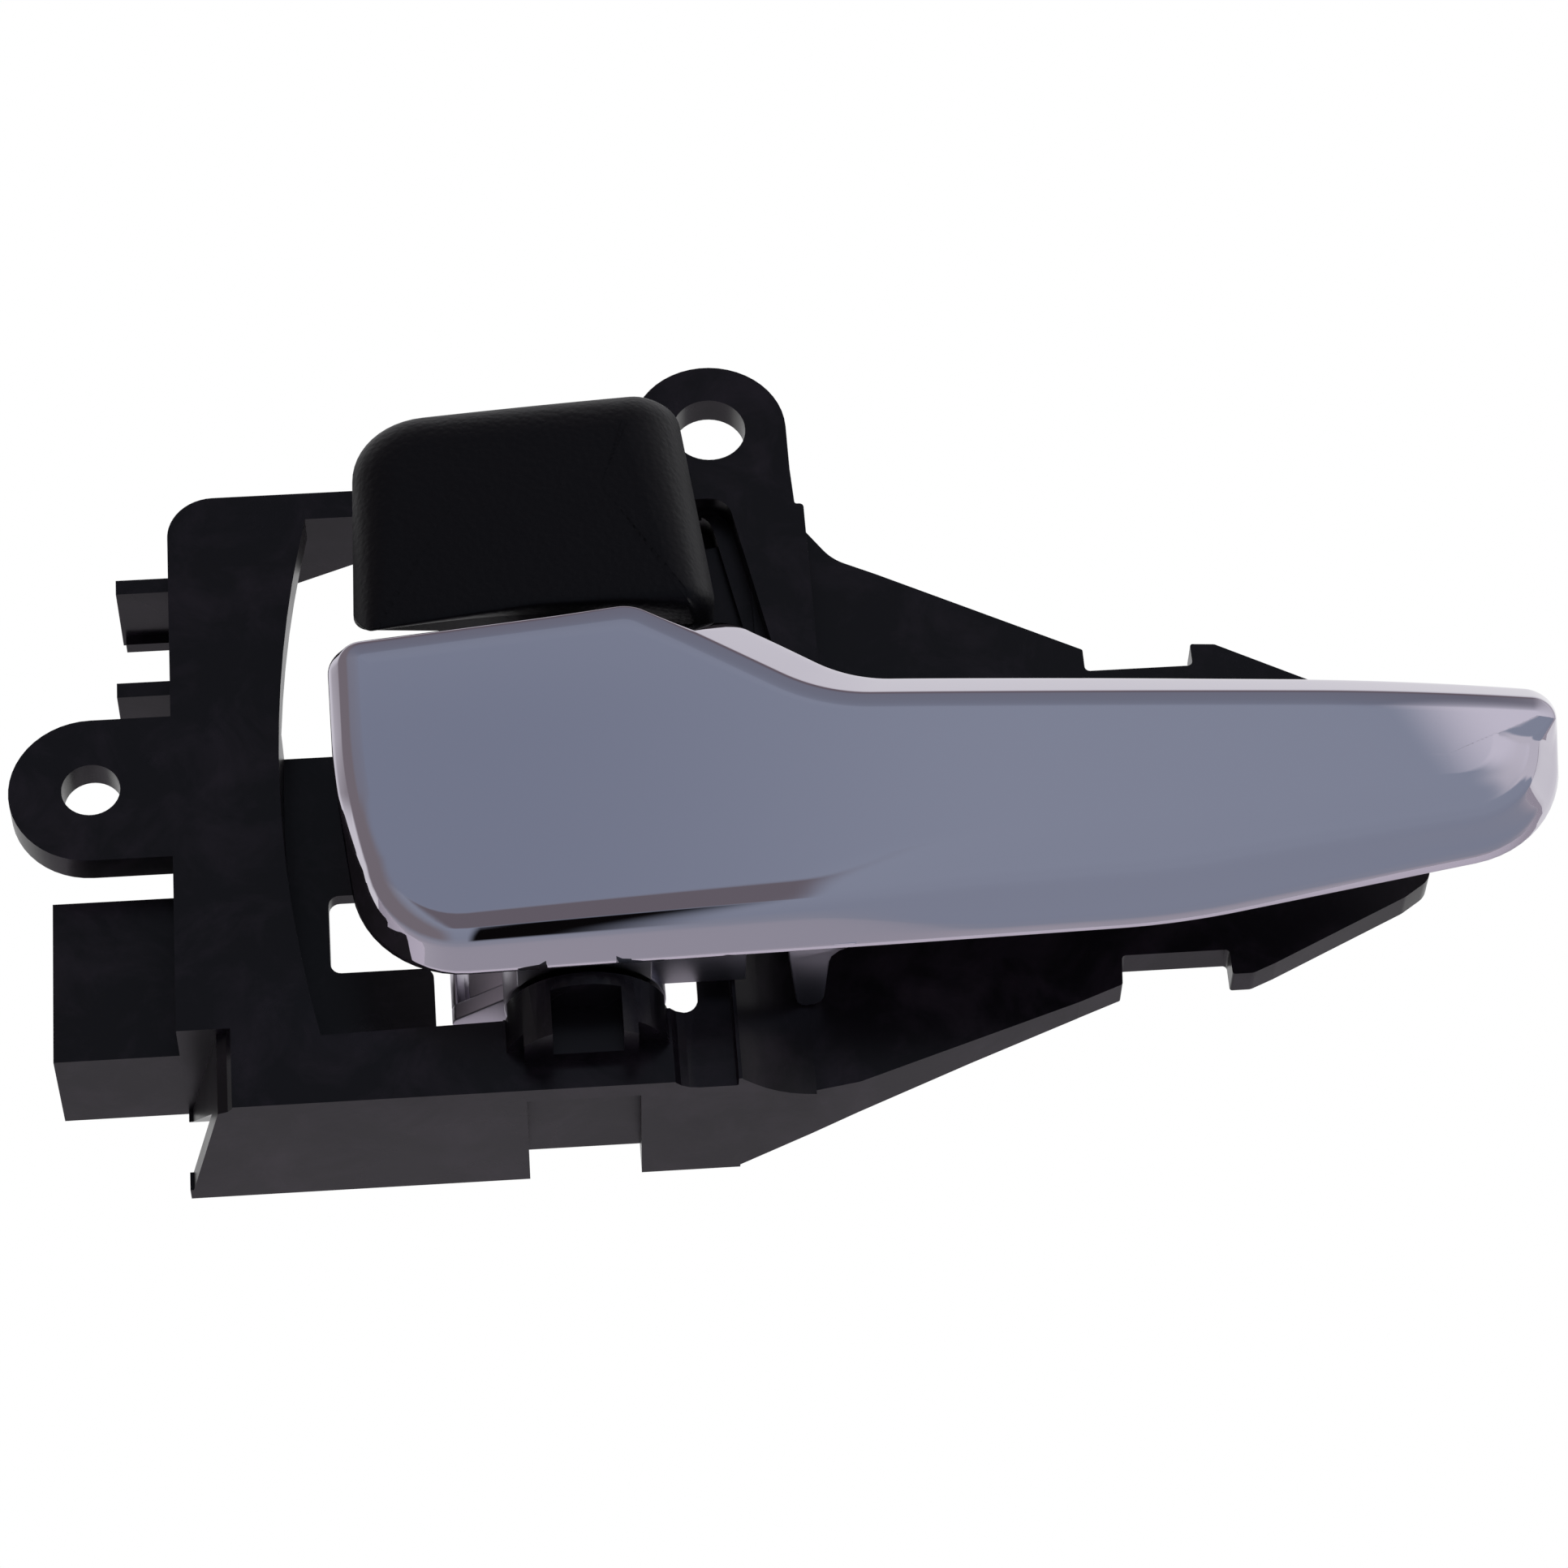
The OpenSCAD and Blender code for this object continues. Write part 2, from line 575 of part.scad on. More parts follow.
module bush(z, down) color("#2b2b2e") difference() {
    union() {
        translate([pin_x, pin_y, z[0]]) cylinder(d = bush_d - 2 * pin_gap, h = z[1] - z[0], $fn = 64);
        translate([pin_x, pin_y, down ? z[0] - flange_t : z[1]])
            cylinder(r = hub_r - 2, h = flange_t, $fn = 64);
    }
    translate([pin_x, pin_y, -50]) cylinder(d = pin_d + 2 * pin_gap, h = 90, $fn = 64);
}
module lower_bush() bush(lug_low, true);
module upper_bush() bush(lug_up, false);

// Knob outlines, clockwise from the bottom left: [x, z, corner radius]
knob_end = knob_x + knob_l;
knob_rear = [[knob_x, knob_z, 1.5], [knob_x + 1, knob_z + knob_h - 4, 10.5],
    [knob_end - 2.9, knob_z + knob_h, 4.5], [knob_end, knob_z + 1.8, 3], [knob_end - 2.5, knob_z, 1],
    [knob_x + 20, knob_z + 1, 20]];
knob_face = [[knob_x + 2.4, knob_z - 1.8, 1.2], [knob_x + 4, knob_z + knob_h - 8.2, 8.5],
    [knob_end - 6.9, knob_z + knob_h - 4.4, 4], [knob_end - 3.2, knob_z + 3.4, 2.6],
    [knob_end - 4.9, knob_z + 2.2, 0.8], [knob_x + 20, knob_z + 0.2, 20]];
// The cap is shallow at its left end, which swings in over the frame, and deep at its right
function knob_edge(x) = 3 + 2.5 * (x - knob_x) / knob_l;
function knob_rim(x) = knob_front - 4 - 7.5 * (x - knob_x) / knob_l;
knob_mid_z = knob_z + knob_h * 0.45;
function knob_rings(w) =
    let (o = rounded(inset(knob_rear, w)), f = rounded(inset(knob_face, w)), n = len(o),
         yf = -knob_front + w)
    concat(
        [for (t = [0.85, 0.5, 0.2]) [for (i = [0:n - 1])
            let (s = spine(f[i], knob_x + 12, knob_end - 12, knob_mid_z, knob_mid_z + 1),
                 p = f[i] + (s - f[i]) * t)
            [p[0], yf - 0.5 * (1 - (1 - t) * (1 - t)), p[1]]]],
        [for (a = [0:18:90]) [for (i = [0:n - 1])
            let (p = o[i] + (f[i] - o[i]) * (1 - sin(a)),
                 yo = -knob_front + knob_edge(o[i][0]) + w * 0.15)
            [p[0], yf + (yo - yf) * (1 - cos(a)), p[1]]]],
        [[for (p = o) [p[0], -knob_rim(p[0]) + (w > 0 ? 1 : 0), p[1]]]]);

// Solid form of the knob cap, moved in by a wall w
module knob_skin(w) {
    mid = [knob_x + knob_l / 2, knob_mid_z + 0.5];
    skin(knob_rings(w), [
        [mid[0], -knob_front + w - 0.5, mid[1]],
        [mid[0], -knob_rim(mid[0]) + (w > 0 ? 1 : 0), mid[1]]]);
}

carrier_z = [lug_up[1] + flange_t + end_gap, bay_top - end_gap];
module lock_knob() color("#141417") difference() {
    knob_skin(0);
    knob_skin(knob_wall);
}

lock_arm_z = [lock_z - 2.5, lock_z + 2.5];
cap_seat = -knob_front + knob_wall + end_gap;
plate_w = [11, 6];
// Leaf that clicks into two notches of the carrier's hub
leaf_t = 0.5;
leaf_z = [bay_top - 6.8, bay_top - 2.8];
leaf_y = pin_y + carrier_r + 0.45;
notch_y = carrier_r + 0.35;
notch_r = notch_y * sin(knob_travel / 2) - 0.05;
bead_r = notch_r - 0.13;
module lock_carrier() color("#1c1b1f") difference() {
    union() {
        translate([pin_x, pin_y, carrier_z[0]])
            cylinder(r = carrier_r, h = carrier_z[1] - carrier_z[0], $fn = 64);
        // web and plate that the cap is pressed over
        column(knob_z + 4.3, carrier_z[1] - 1.5) translate([pin_x - 3, cap_seat]) square([6, pin_y - cap_seat]);
        slab(cap_seat, cap_seat + 2) translate([pin_x - plate_w[0], knob_z + 5.3])
            square([plate_w[0] + plate_w[1], knob_h - 15.8]);
        // cable arm behind the pivot
        column(lock_arm_z[0], lock_arm_z[1]) translate([pin_x, pin_y]) rotate(lock_arm_a)
            translate([-3, 0]) square([6, lock_arm_r + 2.8]);
    }
    for (a = [0, knob_travel]) translate([pin_x, pin_y, leaf_z[0] - 0.5]) rotate(a)
        translate([0, notch_y, 0]) cylinder(r = notch_r, h = leaf_z[1] - leaf_z[0] + 1, $fn = 32);
    translate([pin_x, pin_y, -10]) cylinder(d = pin_d + 2 * pin_gap, h = 60, $fn = 64);
    translate([pin_x - lock_arm_r * sin(lock_arm_a), pin_y + lock_arm_r * cos(lock_arm_a),
        lock_arm_z[0] + 1.4]) {
        cylinder(d = 3.4, h = 3.7, $fn = 32);
        translate([-8, -0.75, 0]) cube([8, 1.5, 3.7]);
    }
}

module pivot_pin() color("silver") {
    translate([pin_x, pin_y, pin_bottom]) cylinder(d = pin_d, h = frame_top_z - 0.2 - pin_bottom, $fn = 64);
    translate([pin_x, pin_y, frame_top_z - head_t]) cylinder(d = head_d, h = head_t - 0.2, $fn = 64);
}

// Coil swept round the pin
function coil_point(a) = [pin_x + coil_r * cos(a), pin_y + coil_r * sin(a), coil_z + coil_pitch * a / 360];
function wire_path() = concat(
    [[pin_x, pin_y - coil_r, lug_low[1] - 2.6], [pin_x, pin_y - coil_r, coil_z - 0.9]],
    [for (i = [0:coil_steps * (coils - 0.5)]) coil_point(-90 + i * 360 / coil_steps)],
    [[well_x, floor_depth - wire_d / 2 - 0.1, coil_z + coil_pitch * (coils - 0.7)]]);
module wire(path, d) {
    m = 8;
    n = len(path);
    ring = function(i)
        let (a = path[max(0, i - 1)], b = path[min(n - 1, i + 1)], t = unit(b - a),
             out = [path[i][0] - pin_x, path[i][1] - pin_y, 0],
             u = unit(out - (out * t) * t), v = cross(t, u))
        [for (k = [0:m - 1]) path[i] + d / 2 * (cos(k * 360 / m) * u + sin(k * 360 / m) * v)];
    skin([for (i = [0:n - 1]) ring(i)], [path[0], path[n - 1]]);
}
module return_spring() color("#a9adb3") wire(wire_path(), wire_d);

leaf_reach = 10;
module detent_spring() color("#a9adb3") column(leaf_z[0], leaf_z[1]) {
    translate([pin_x - leaf_reach, leaf_y]) square([2 * leaf_reach, leaf_t]);
    translate([pin_x, leaf_y]) circle(bead_r, $fn = 32);
}
// Hanging posts that hold the leaf's ends
module leaf_posts() {
    for (side = [-1, 1]) difference() {
        column(leaf_z[0] - 1, bay_top + 1) translate([pin_x + side * (leaf_reach - 0.6) - 1.25, leaf_y - 1.3])
            square([2.5, leaf_t + 2.6]);
        column(leaf_z[0] - 0.1, leaf_z[1] + 0.3) translate([pin_x + side * (leaf_reach - 2) - 2.2, leaf_y - 0.05])
            square([4.4, leaf_t + 0.1]);
    }
}

housing();
lever();
lower_bush();
upper_bush();
lock_knob();
lock_carrier();
pivot_pin();
return_spring();
detent_spring();
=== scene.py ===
"""Scene of a left front inside door handle: moulded housing, plated lever, grained lock knob.

Every length below is in millimetres in the part's own frame (X along the lever, Y into the door,
Z up, origin in the left screw hole) and is turned to metres by one factor when a mesh is made.
"""

from __future__ import annotations

import logging
from collections.abc import Iterator
from contextlib import contextmanager
from dataclasses import dataclass, field
from enum import Enum
from math import acos, atan2, copysign, cos, inf, pi, radians, sin, tan

import bmesh
import bpy
from bpy.types import ID, Material, Mesh, Modifier, Node, NodeSocket, NodeTree, Object
from mathutils import Matrix, Vector

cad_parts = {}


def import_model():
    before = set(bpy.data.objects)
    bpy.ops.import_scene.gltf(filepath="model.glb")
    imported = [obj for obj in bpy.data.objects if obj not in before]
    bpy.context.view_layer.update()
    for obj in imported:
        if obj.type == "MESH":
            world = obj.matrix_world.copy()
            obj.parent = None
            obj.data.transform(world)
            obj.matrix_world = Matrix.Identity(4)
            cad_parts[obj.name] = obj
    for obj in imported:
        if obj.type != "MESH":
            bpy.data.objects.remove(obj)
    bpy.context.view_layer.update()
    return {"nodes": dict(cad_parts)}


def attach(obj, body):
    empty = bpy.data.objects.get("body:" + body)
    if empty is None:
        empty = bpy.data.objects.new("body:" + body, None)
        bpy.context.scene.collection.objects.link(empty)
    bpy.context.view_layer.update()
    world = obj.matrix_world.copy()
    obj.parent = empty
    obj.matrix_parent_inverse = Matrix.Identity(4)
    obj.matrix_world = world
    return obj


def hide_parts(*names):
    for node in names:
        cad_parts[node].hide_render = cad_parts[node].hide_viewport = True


LOG = logging.getLogger("door_handle")
MM = 0.001
LEAST_FILLET = 0.4
# metres: points closer than the first are one point, edges shorter than the second are none
SAME_POINT = 1e-6
NO_LENGTH = 1e-7
Point2 = tuple[float, float]
Point3 = tuple[float, float, float]
# corners of an outline: x, z and the radius of the fillet
Corners = tuple[Point3, ...]


class Slot(Enum):
    """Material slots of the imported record."""

    HOUSING = "housing_plastic"
    LEVER = "lever_plating"
    KNOB = "knob_plastic"
    CARRIER = "carrier_plastic"
    SPRING = "spring_steel"


class Body(Enum):
    """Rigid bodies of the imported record."""

    CASE = "case"
    LEVER = "lever"
    KNOB = "knob"


def linear(hex_code: str) -> tuple[float, float, float, float]:
    """Turns an sRGB hex value to a linear colour.

    Args:
        hex_code: Six hex digits, with or without a leading hash.

    Returns:
        Linear red, green, blue and an alpha of 1.
    """
    digits = hex_code.lstrip("#")
    values = [int(digits[i : i + 2], 16) / 255 for i in (0, 2, 4)]
    return (*[v / 12.92 if v <= 0.04045 else ((v + 0.055) / 1.055) ** 2.4 for v in values], 1.0)


def add_node(tree: NodeTree, kind: str, links: dict | None = None, **settings) -> Node:
    """Adds a node with its settings and links.

    Args:
        tree: Node tree that takes the node.
        kind: Node type, such as "ShaderNodeTexNoise".
        links: Input name or number to a socket to link from, or to a plain value.
        **settings: Attributes of the node.

    Returns:
        The new node.
    """
    node = tree.nodes.new(kind)
    for name, value in settings.items():
        setattr(node, name, value)
    for name, value in (links or {}).items():
        if isinstance(value, NodeSocket):
            tree.links.new(value, node.inputs[name])
        else:
            node.inputs[name].default_value = value
    return node


def new_material(name: str) -> tuple[Material, NodeTree]:
    """Makes an empty node material and returns it with its tree."""
    material = bpy.data.materials.new(name)
    material.use_nodes = True
    material.node_tree.nodes.clear()
    return material, material.node_tree


def noise(tree: NodeTree, place: NodeSocket, size_mm: float, **inputs: float) -> Node:
    """Adds a noise texture with patches of a size in millimetres and returns its node."""
    return add_node(tree, "ShaderNodeTexNoise", {"Vector": place, "Scale": 1 / (size_mm * MM), **inputs})


def spanned(
    tree: NodeTree,
    value: NodeSocket,
    ends: Point2,
    wanted: Point2 = (0.0, 1.0),
    kind: str = "SMOOTHSTEP",
) -> NodeSocket:
    """Maps a value from one span to another and clamps it there.

    Args:
        tree: Node tree that takes the node.
        value: Socket of the value.
        ends: Values that the span starts and ends at.
        wanted: What they are turned into.
        kind: Interpolation; SMOOTHSTEP starts and stops softly.

    Returns:
        Socket of the result.
    """
    links = {"Value": value, "From Min": ends[0], "From Max": ends[1], "To Min": wanted[0], "To Max": wanted[1]}
    return add_node(tree, "ShaderNodeMapRange", links, interpolation_type=kind).outputs["Result"]


def finish_surface(
    tree: NodeTree,
    values: dict,
    height: NodeSocket | None = None,
    height_mm: float = 0.0,
    sunk: bool = False,
) -> None:
    """Ends a material's tree with a Principled shader and its output.

    Args:
        tree: The material's tree.
        values: Inputs of the shader by name.
        height: Socket of the relief's height.
        height_mm: Height of the relief in millimetres.
        sunk: Whether high values lie deep.
    """
    if height:
        bump = add_node(tree, "ShaderNodeBump", {"Height": height, "Distance": height_mm * MM}, invert=sunk)
        values = {**values, "Normal": bump.outputs["Normal"]}
    shader = add_node(tree, "ShaderNodeBsdfPrincipled", values)
    add_node(tree, "ShaderNodeOutputMaterial", {"Surface": shader.outputs["BSDF"]})


@dataclass(frozen=True)
class MouldedPlastic:
    """Injection moulded plastic: near-black body colour, a tool's spark-eroded skin and faint flow."""

    name: str
    colour: str
    roughness: float
    spread: float
    grain_mm: float
    grain_height_mm: float
    ior: float
    flow_mm: float = 22.0
    flow_ends: Point2 = (0.3, 0.7)
    dust: str = "#1e1920"
    dust_mm: float = 9.0
    dust_ends: Point2 = (0.46, 0.72)

    def build(self) -> Material:
        """Builds the material: grain as bump, flow marks as roughness, handling marks as dull patches."""
        material, tree = new_material(self.name)
        place = add_node(tree, "ShaderNodeTexCoord").outputs["Object"]
        smear = noise(tree, place, self.dust_mm, Detail=7.0, Roughness=0.68, Distortion=0.6)
        marks = add_node(tree, "ShaderNodeValToRGB", {"Fac": smear.outputs["Fac"]})
        for element, end, colour in zip(marks.color_ramp.elements, self.dust_ends, (self.colour, self.dust)):
            element.position, element.color = end, linear(colour)
        flow = noise(tree, place, self.flow_mm, Detail=4.0).outputs["Fac"]
        dull = (self.roughness - self.spread, self.roughness + self.spread)
        rough = spanned(tree, flow, self.flow_ends, dull, "LINEAR")
        grain = noise(tree, place, self.grain_mm, Detail=2.0).outputs["Fac"]
        values = {"Base Color": marks.outputs["Color"], "Roughness": rough, "IOR": self.ior}
        finish_surface(tree, values, grain, self.grain_height_mm)
        return material


@dataclass(frozen=True)
class LeatherGrainPlastic:
    """Polypropylene moulded in an etched tool: pebbles of a fine leather grain with soft valleys."""

    name: str
    colour: str
    roughness: float
    pebble_mm: float
    height_mm: float
    ior: float = 1.49
    specular: float = 0.17
    bend_scale: float = 0.35
    pebble_softness: float = 0.6
    fine_scale: float = 3.2
    fine_share: float = 0.35

    def build(self) -> Material:
        """Builds the material: cell noise makes the pebbles and slow noise bends and varies them."""
        material, tree = new_material(self.name)
        place = add_node(tree, "ShaderNodeTexCoord").outputs["Object"]
        bend = noise(tree, place, self.pebble_mm / self.bend_scale).outputs["Color"]
        reach = (self.pebble_mm * MM,) * 3
        offset = add_node(tree, "ShaderNodeVectorMath", {0: bend, 1: reach}, operation="MULTIPLY")
        moved = add_node(tree, "ShaderNodeVectorMath", {0: place, 1: offset.outputs["Vector"]}, operation="ADD")
        cells = add_node(
            tree,
            "ShaderNodeTexVoronoi",
            {"Vector": moved.outputs["Vector"], "Scale": 1 / (self.pebble_mm * MM), "Smoothness": self.pebble_softness},
            feature="SMOOTH_F1",
        )
        fine = noise(tree, place, self.pebble_mm / self.fine_scale).outputs["Fac"]
        links = {0: fine, 1: self.fine_share, 2: cells.outputs["Distance"]}
        height = add_node(tree, "ShaderNodeMath", links, operation="MULTIPLY_ADD").outputs["Value"]
        values = {
            "Base Color": linear(self.colour),
            "Roughness": self.roughness,
            "IOR": self.ior,
            "Specular IOR Level": self.specular,
        }
        finish_surface(tree, values, height, self.height_mm, sunk=True)
        return material


@dataclass(frozen=True)
class Metal:
    """Metal skin: bright chromium over plastic, or plain steel, with slow waves of the base below."""

    name: str
    colour: str
    roughness: float
    wave_mm: float
    wave_height_mm: float
    back_roughness: float = 0.0
    back_mm: Point2 = (-9.0, -5.0)

    def build(self) -> Material:
        """Builds the material: the plating repeats the slow waves of the moulding under it."""
        material, tree = new_material(self.name)
        place = add_node(tree, "ShaderNodeTexCoord").outputs["Object"]
        wave = noise(tree, place, self.wave_mm, Detail=0.0, Roughness=0.2).outputs["Fac"]
        rough: float | NodeSocket = self.roughness
        if self.back_roughness:
            depth = add_node(tree, "ShaderNodeSeparateXYZ", {"Vector": place}).outputs["Y"]
            ends = (self.back_mm[0] * MM, self.back_mm[1] * MM)
            rough = spanned(tree, depth, ends, (self.roughness, self.back_roughness), "LINEAR")
        values = {"Base Color": linear(self.colour), "Metallic": 1.0, "Roughness": rough}
        finish_surface(tree, values, wave, self.wave_height_mm)
        return material


Finish = MouldedPlastic | LeatherGrainPlastic | Metal

# glass-filled nylon, moulded: black with a slight sheen that flow marks break up
HOUSING_NYLON = MouldedPlastic(
    "moulded_black_nylon", "#09070c", roughness=0.3, spread=0.06, grain_mm=0.35, grain_height_mm=0.003, ior=1.32
)
# acetal, moulded: a little smoother and greyer
DARK_ACETAL = MouldedPlastic(
    "moulded_black_acetal", "#0d0c10", roughness=0.3, spread=0.04, grain_mm=0.4, grain_height_mm=0.002, ior=1.4
)
# polypropylene with leather grain: matt, so edges glow instead of glinting
KNOB_GRAIN = LeatherGrainPlastic("leather_grain_polypropylene", "#040409", 0.52, pebble_mm=0.7, height_mm=0.05)
# bright chromium on moulded plastic: a mirror with a cool, faintly violet tint, dull where the bath hardly reached
CHROMIUM = Metal(
    "chromium_plating", "#C4C0CA", 0.02, wave_mm=30.0, wave_height_mm=0.02, back_roughness=0.42, back_mm=(-8.6, -7.6)
)
# drawn steel of the pin and hardened wire of the springs
DRAWN_STEEL = Metal("drawn_steel", "#A8A6A4", 0.3, wave_mm=1.2, wave_height_mm=0.002)
SPRING_WIRE = Metal("spring_steel", "#8F8F93", 0.26, wave_mm=0.9, wave_height_mm=0.003)


def add_object(name: str, data: ID) -> Object:
    """Makes an object from its data and links it to the scene."""
    obj = bpy.data.objects.new(name, data)
    bpy.context.scene.collection.objects.link(obj)
    return obj


def mesh_object(name: str, verts: list, faces: list, edges: list | tuple = ()) -> Object:
    """Makes a mesh object at the origin from points in millimetres.

    Args:
        name: Name of the object.
        verts: Points in millimetres.
        faces: Lists of vertex numbers.
        edges: Pairs of vertex numbers, for a mesh without faces.

    Returns:
        The new object, linked to the scene.
    """
    mesh = bpy.data.meshes.new(name)
    mesh.from_pydata([tuple(c * MM for c in v) for v in verts], edges, faces)
    mesh.validate()
    return add_object(name, mesh)


def shade(mesh: Mesh, angle: float) -> None:
    """Shades a mesh smooth, with sharp edges above an angle in degrees."""
    mesh.shade_smooth()
    mesh.set_sharp_from_angle(angle=radians(angle))


@contextmanager
def edited(mesh: Mesh) -> Iterator[bmesh.types.BMesh]:
    """Opens a mesh for editing and writes the result back to it."""
    work = bmesh.new()
    work.from_mesh(mesh)
    yield work
    work.to_mesh(mesh)
    work.free()


def soften(obj: Object, width_mm: float, segments: int, angle: float) -> Modifier:
    """Bevels an object's edges that are sharper than an angle in degrees.

    Args:
        obj: The object.
        width_mm: Width of the bevel in millimetres.
        segments: Segments across it.
        angle: The angle.

    Returns:
        The modifier.
    """
    bevel = obj.modifiers.new("edge", "BEVEL")
    bevel.width = width_mm * MM
    bevel.segments = segments
    bevel.limit_method = "ANGLE"
    bevel.angle_limit = radians(angle)
    return bevel


def evaluated_copy(obj: Object, name: str) -> Object:
    """Turns an object with live modifiers into a plain mesh object and removes the first.

    Args:
        obj: Object with modifiers.
        name: Name of the result.

    Returns:
        The plain mesh object.
    """
    graph = bpy.context.evaluated_depsgraph_get()
    mesh = bpy.data.meshes.new_from_object(obj.evaluated_get(graph))
    bpy.data.objects.remove(obj)
    return add_object(name, mesh)


def corner_arc(p: Point3, q: Point3, r: Point3, steps: int) -> list[Vector]:
    """Points of one filleted corner.

    Args:
        p: Corner before, as (x, z, radius).
        q: Corner to fillet.
        r: Corner after.
        steps: Segments of the arc.

    Returns:
        Points from the arc's start to its end.
    """
    at, radius = Vector(q[:2]), q[2]
    a, b = ((Vector(side[:2]) - at).normalized() for side in (p, r))
    half = acos(max(-1.0, min(1.0, a.dot(b)))) / 2
    centre = at + (a + b).normalized() * (radius / sin(half))
    spoke = at + a * (radius / tan(half)) - centre
    first = atan2(spoke.y, spoke.x)
    sweep = copysign(pi - 2 * half, a.x * b.y - a.y * b.x)
    turns = [first - sweep * i / steps for i in range(steps + 1)]
    return [centre + Vector((cos(turn), sin(turn))) * radius for turn in turns]


def inset(corners: Corners, wall: float) -> Corners:
    """Moves a clockwise outline's corners inwards.

    Args:
        corners: Corners as (x, z, radius).
        wall: Distance to move.

    Returns:
        The moved corners, with radii that keep the wall.
    """
    moved = []
    for i, q in enumerate(corners):
        p, r = corners[i - 1], corners[(i + 1) % len(corners)]
        a = (Vector(q[:2]) - Vector(p[:2])).normalized()
        b = (Vector(r[:2]) - Vector(q[:2])).normalized()
        na, nb = Vector((a.y, -a.x)), Vector((b.y, -b.x))
        mid = (na + nb).normalized()
        at = Vector(q[:2]) + mid * (wall / mid.dot(na))
        turn = a.x * b.y - a.y * b.x
        moved.append((at.x, at.y, max(LEAST_FILLET, q[2] - wall) if turn < 0 else q[2] + wall))
    return tuple(moved)


def fillets(corners: Corners, steps: int) -> list[list[Vector]]:
    """Arcs of all the corners of an outline, each with a number of steps."""
    after = (*corners[1:], corners[0])
    return [corner_arc(*trio, steps) for trio in zip((corners[-1], *corners), corners, after)]


def through(arcs: list[list], runs: tuple[int, ...]) -> list:
    """Joins the values at the corners of an outline by evenly split straight runs.

    Args:
        arcs: Points or numbers along each corner.
        runs: Segments of the straight run after each corner.

    Returns:
        The values all round the outline.
    """
    values = []
    for i, (arc, run) in enumerate(zip(arcs, runs)):
        end, start = arc[-1], arcs[(i + 1) % len(arcs)][0]
        values += [*arc, *(end + (start - end) * (k / run) for k in range(1, run))]
    return values


def ring_faces(count: int, rings: int) -> list[list[int]]:
    """Outward quads between rings of equal counts, front ring first, clockwise seen from the front."""
    return [
        [j * count + i, (j + 1) * count + i, (j + 1) * count + (i + 1) % count, j * count + (i + 1) % count]
        for j in range(rings - 1)
        for i in range(count)
    ]


@dataclass
class Camera:
    """Camera at the photograph's place, with its tilt and focal length."""

    place: Point3 = (43.467, -497.698, -309.775)
    pitch: float = 31.5
    yaw: float = 3.8
    roll: float = 5.1
    focal_px: float = 6500.0
    image_px: float = 1932.0
    sensor_mm: float = 36.0
    clip_m: float = 20.0

    def build(self) -> None:
        """Makes the camera."""
        pitch, yaw, roll = (radians(a) for a in (self.pitch, self.yaw, self.roll))
        ahead = Vector((sin(yaw) * cos(pitch), cos(yaw) * cos(pitch), sin(pitch)))
        level = Vector((cos(yaw), -sin(yaw), 0))
        up = level.cross(ahead)
        right = level * cos(roll) - up * sin(roll)
        top = level * sin(roll) + up * cos(roll)
        data = bpy.data.cameras.new("camera")
        data.sensor_width = self.sensor_mm
        data.lens = self.focal_px / self.image_px * self.sensor_mm
        data.clip_end = self.clip_m
        camera = add_object("camera", data)
        turned = Matrix((right, top, -ahead)).transposed().to_4x4()
        camera.matrix_world = Matrix.Translation([c * MM for c in self.place]) @ turned
        bpy.context.scene.camera = camera


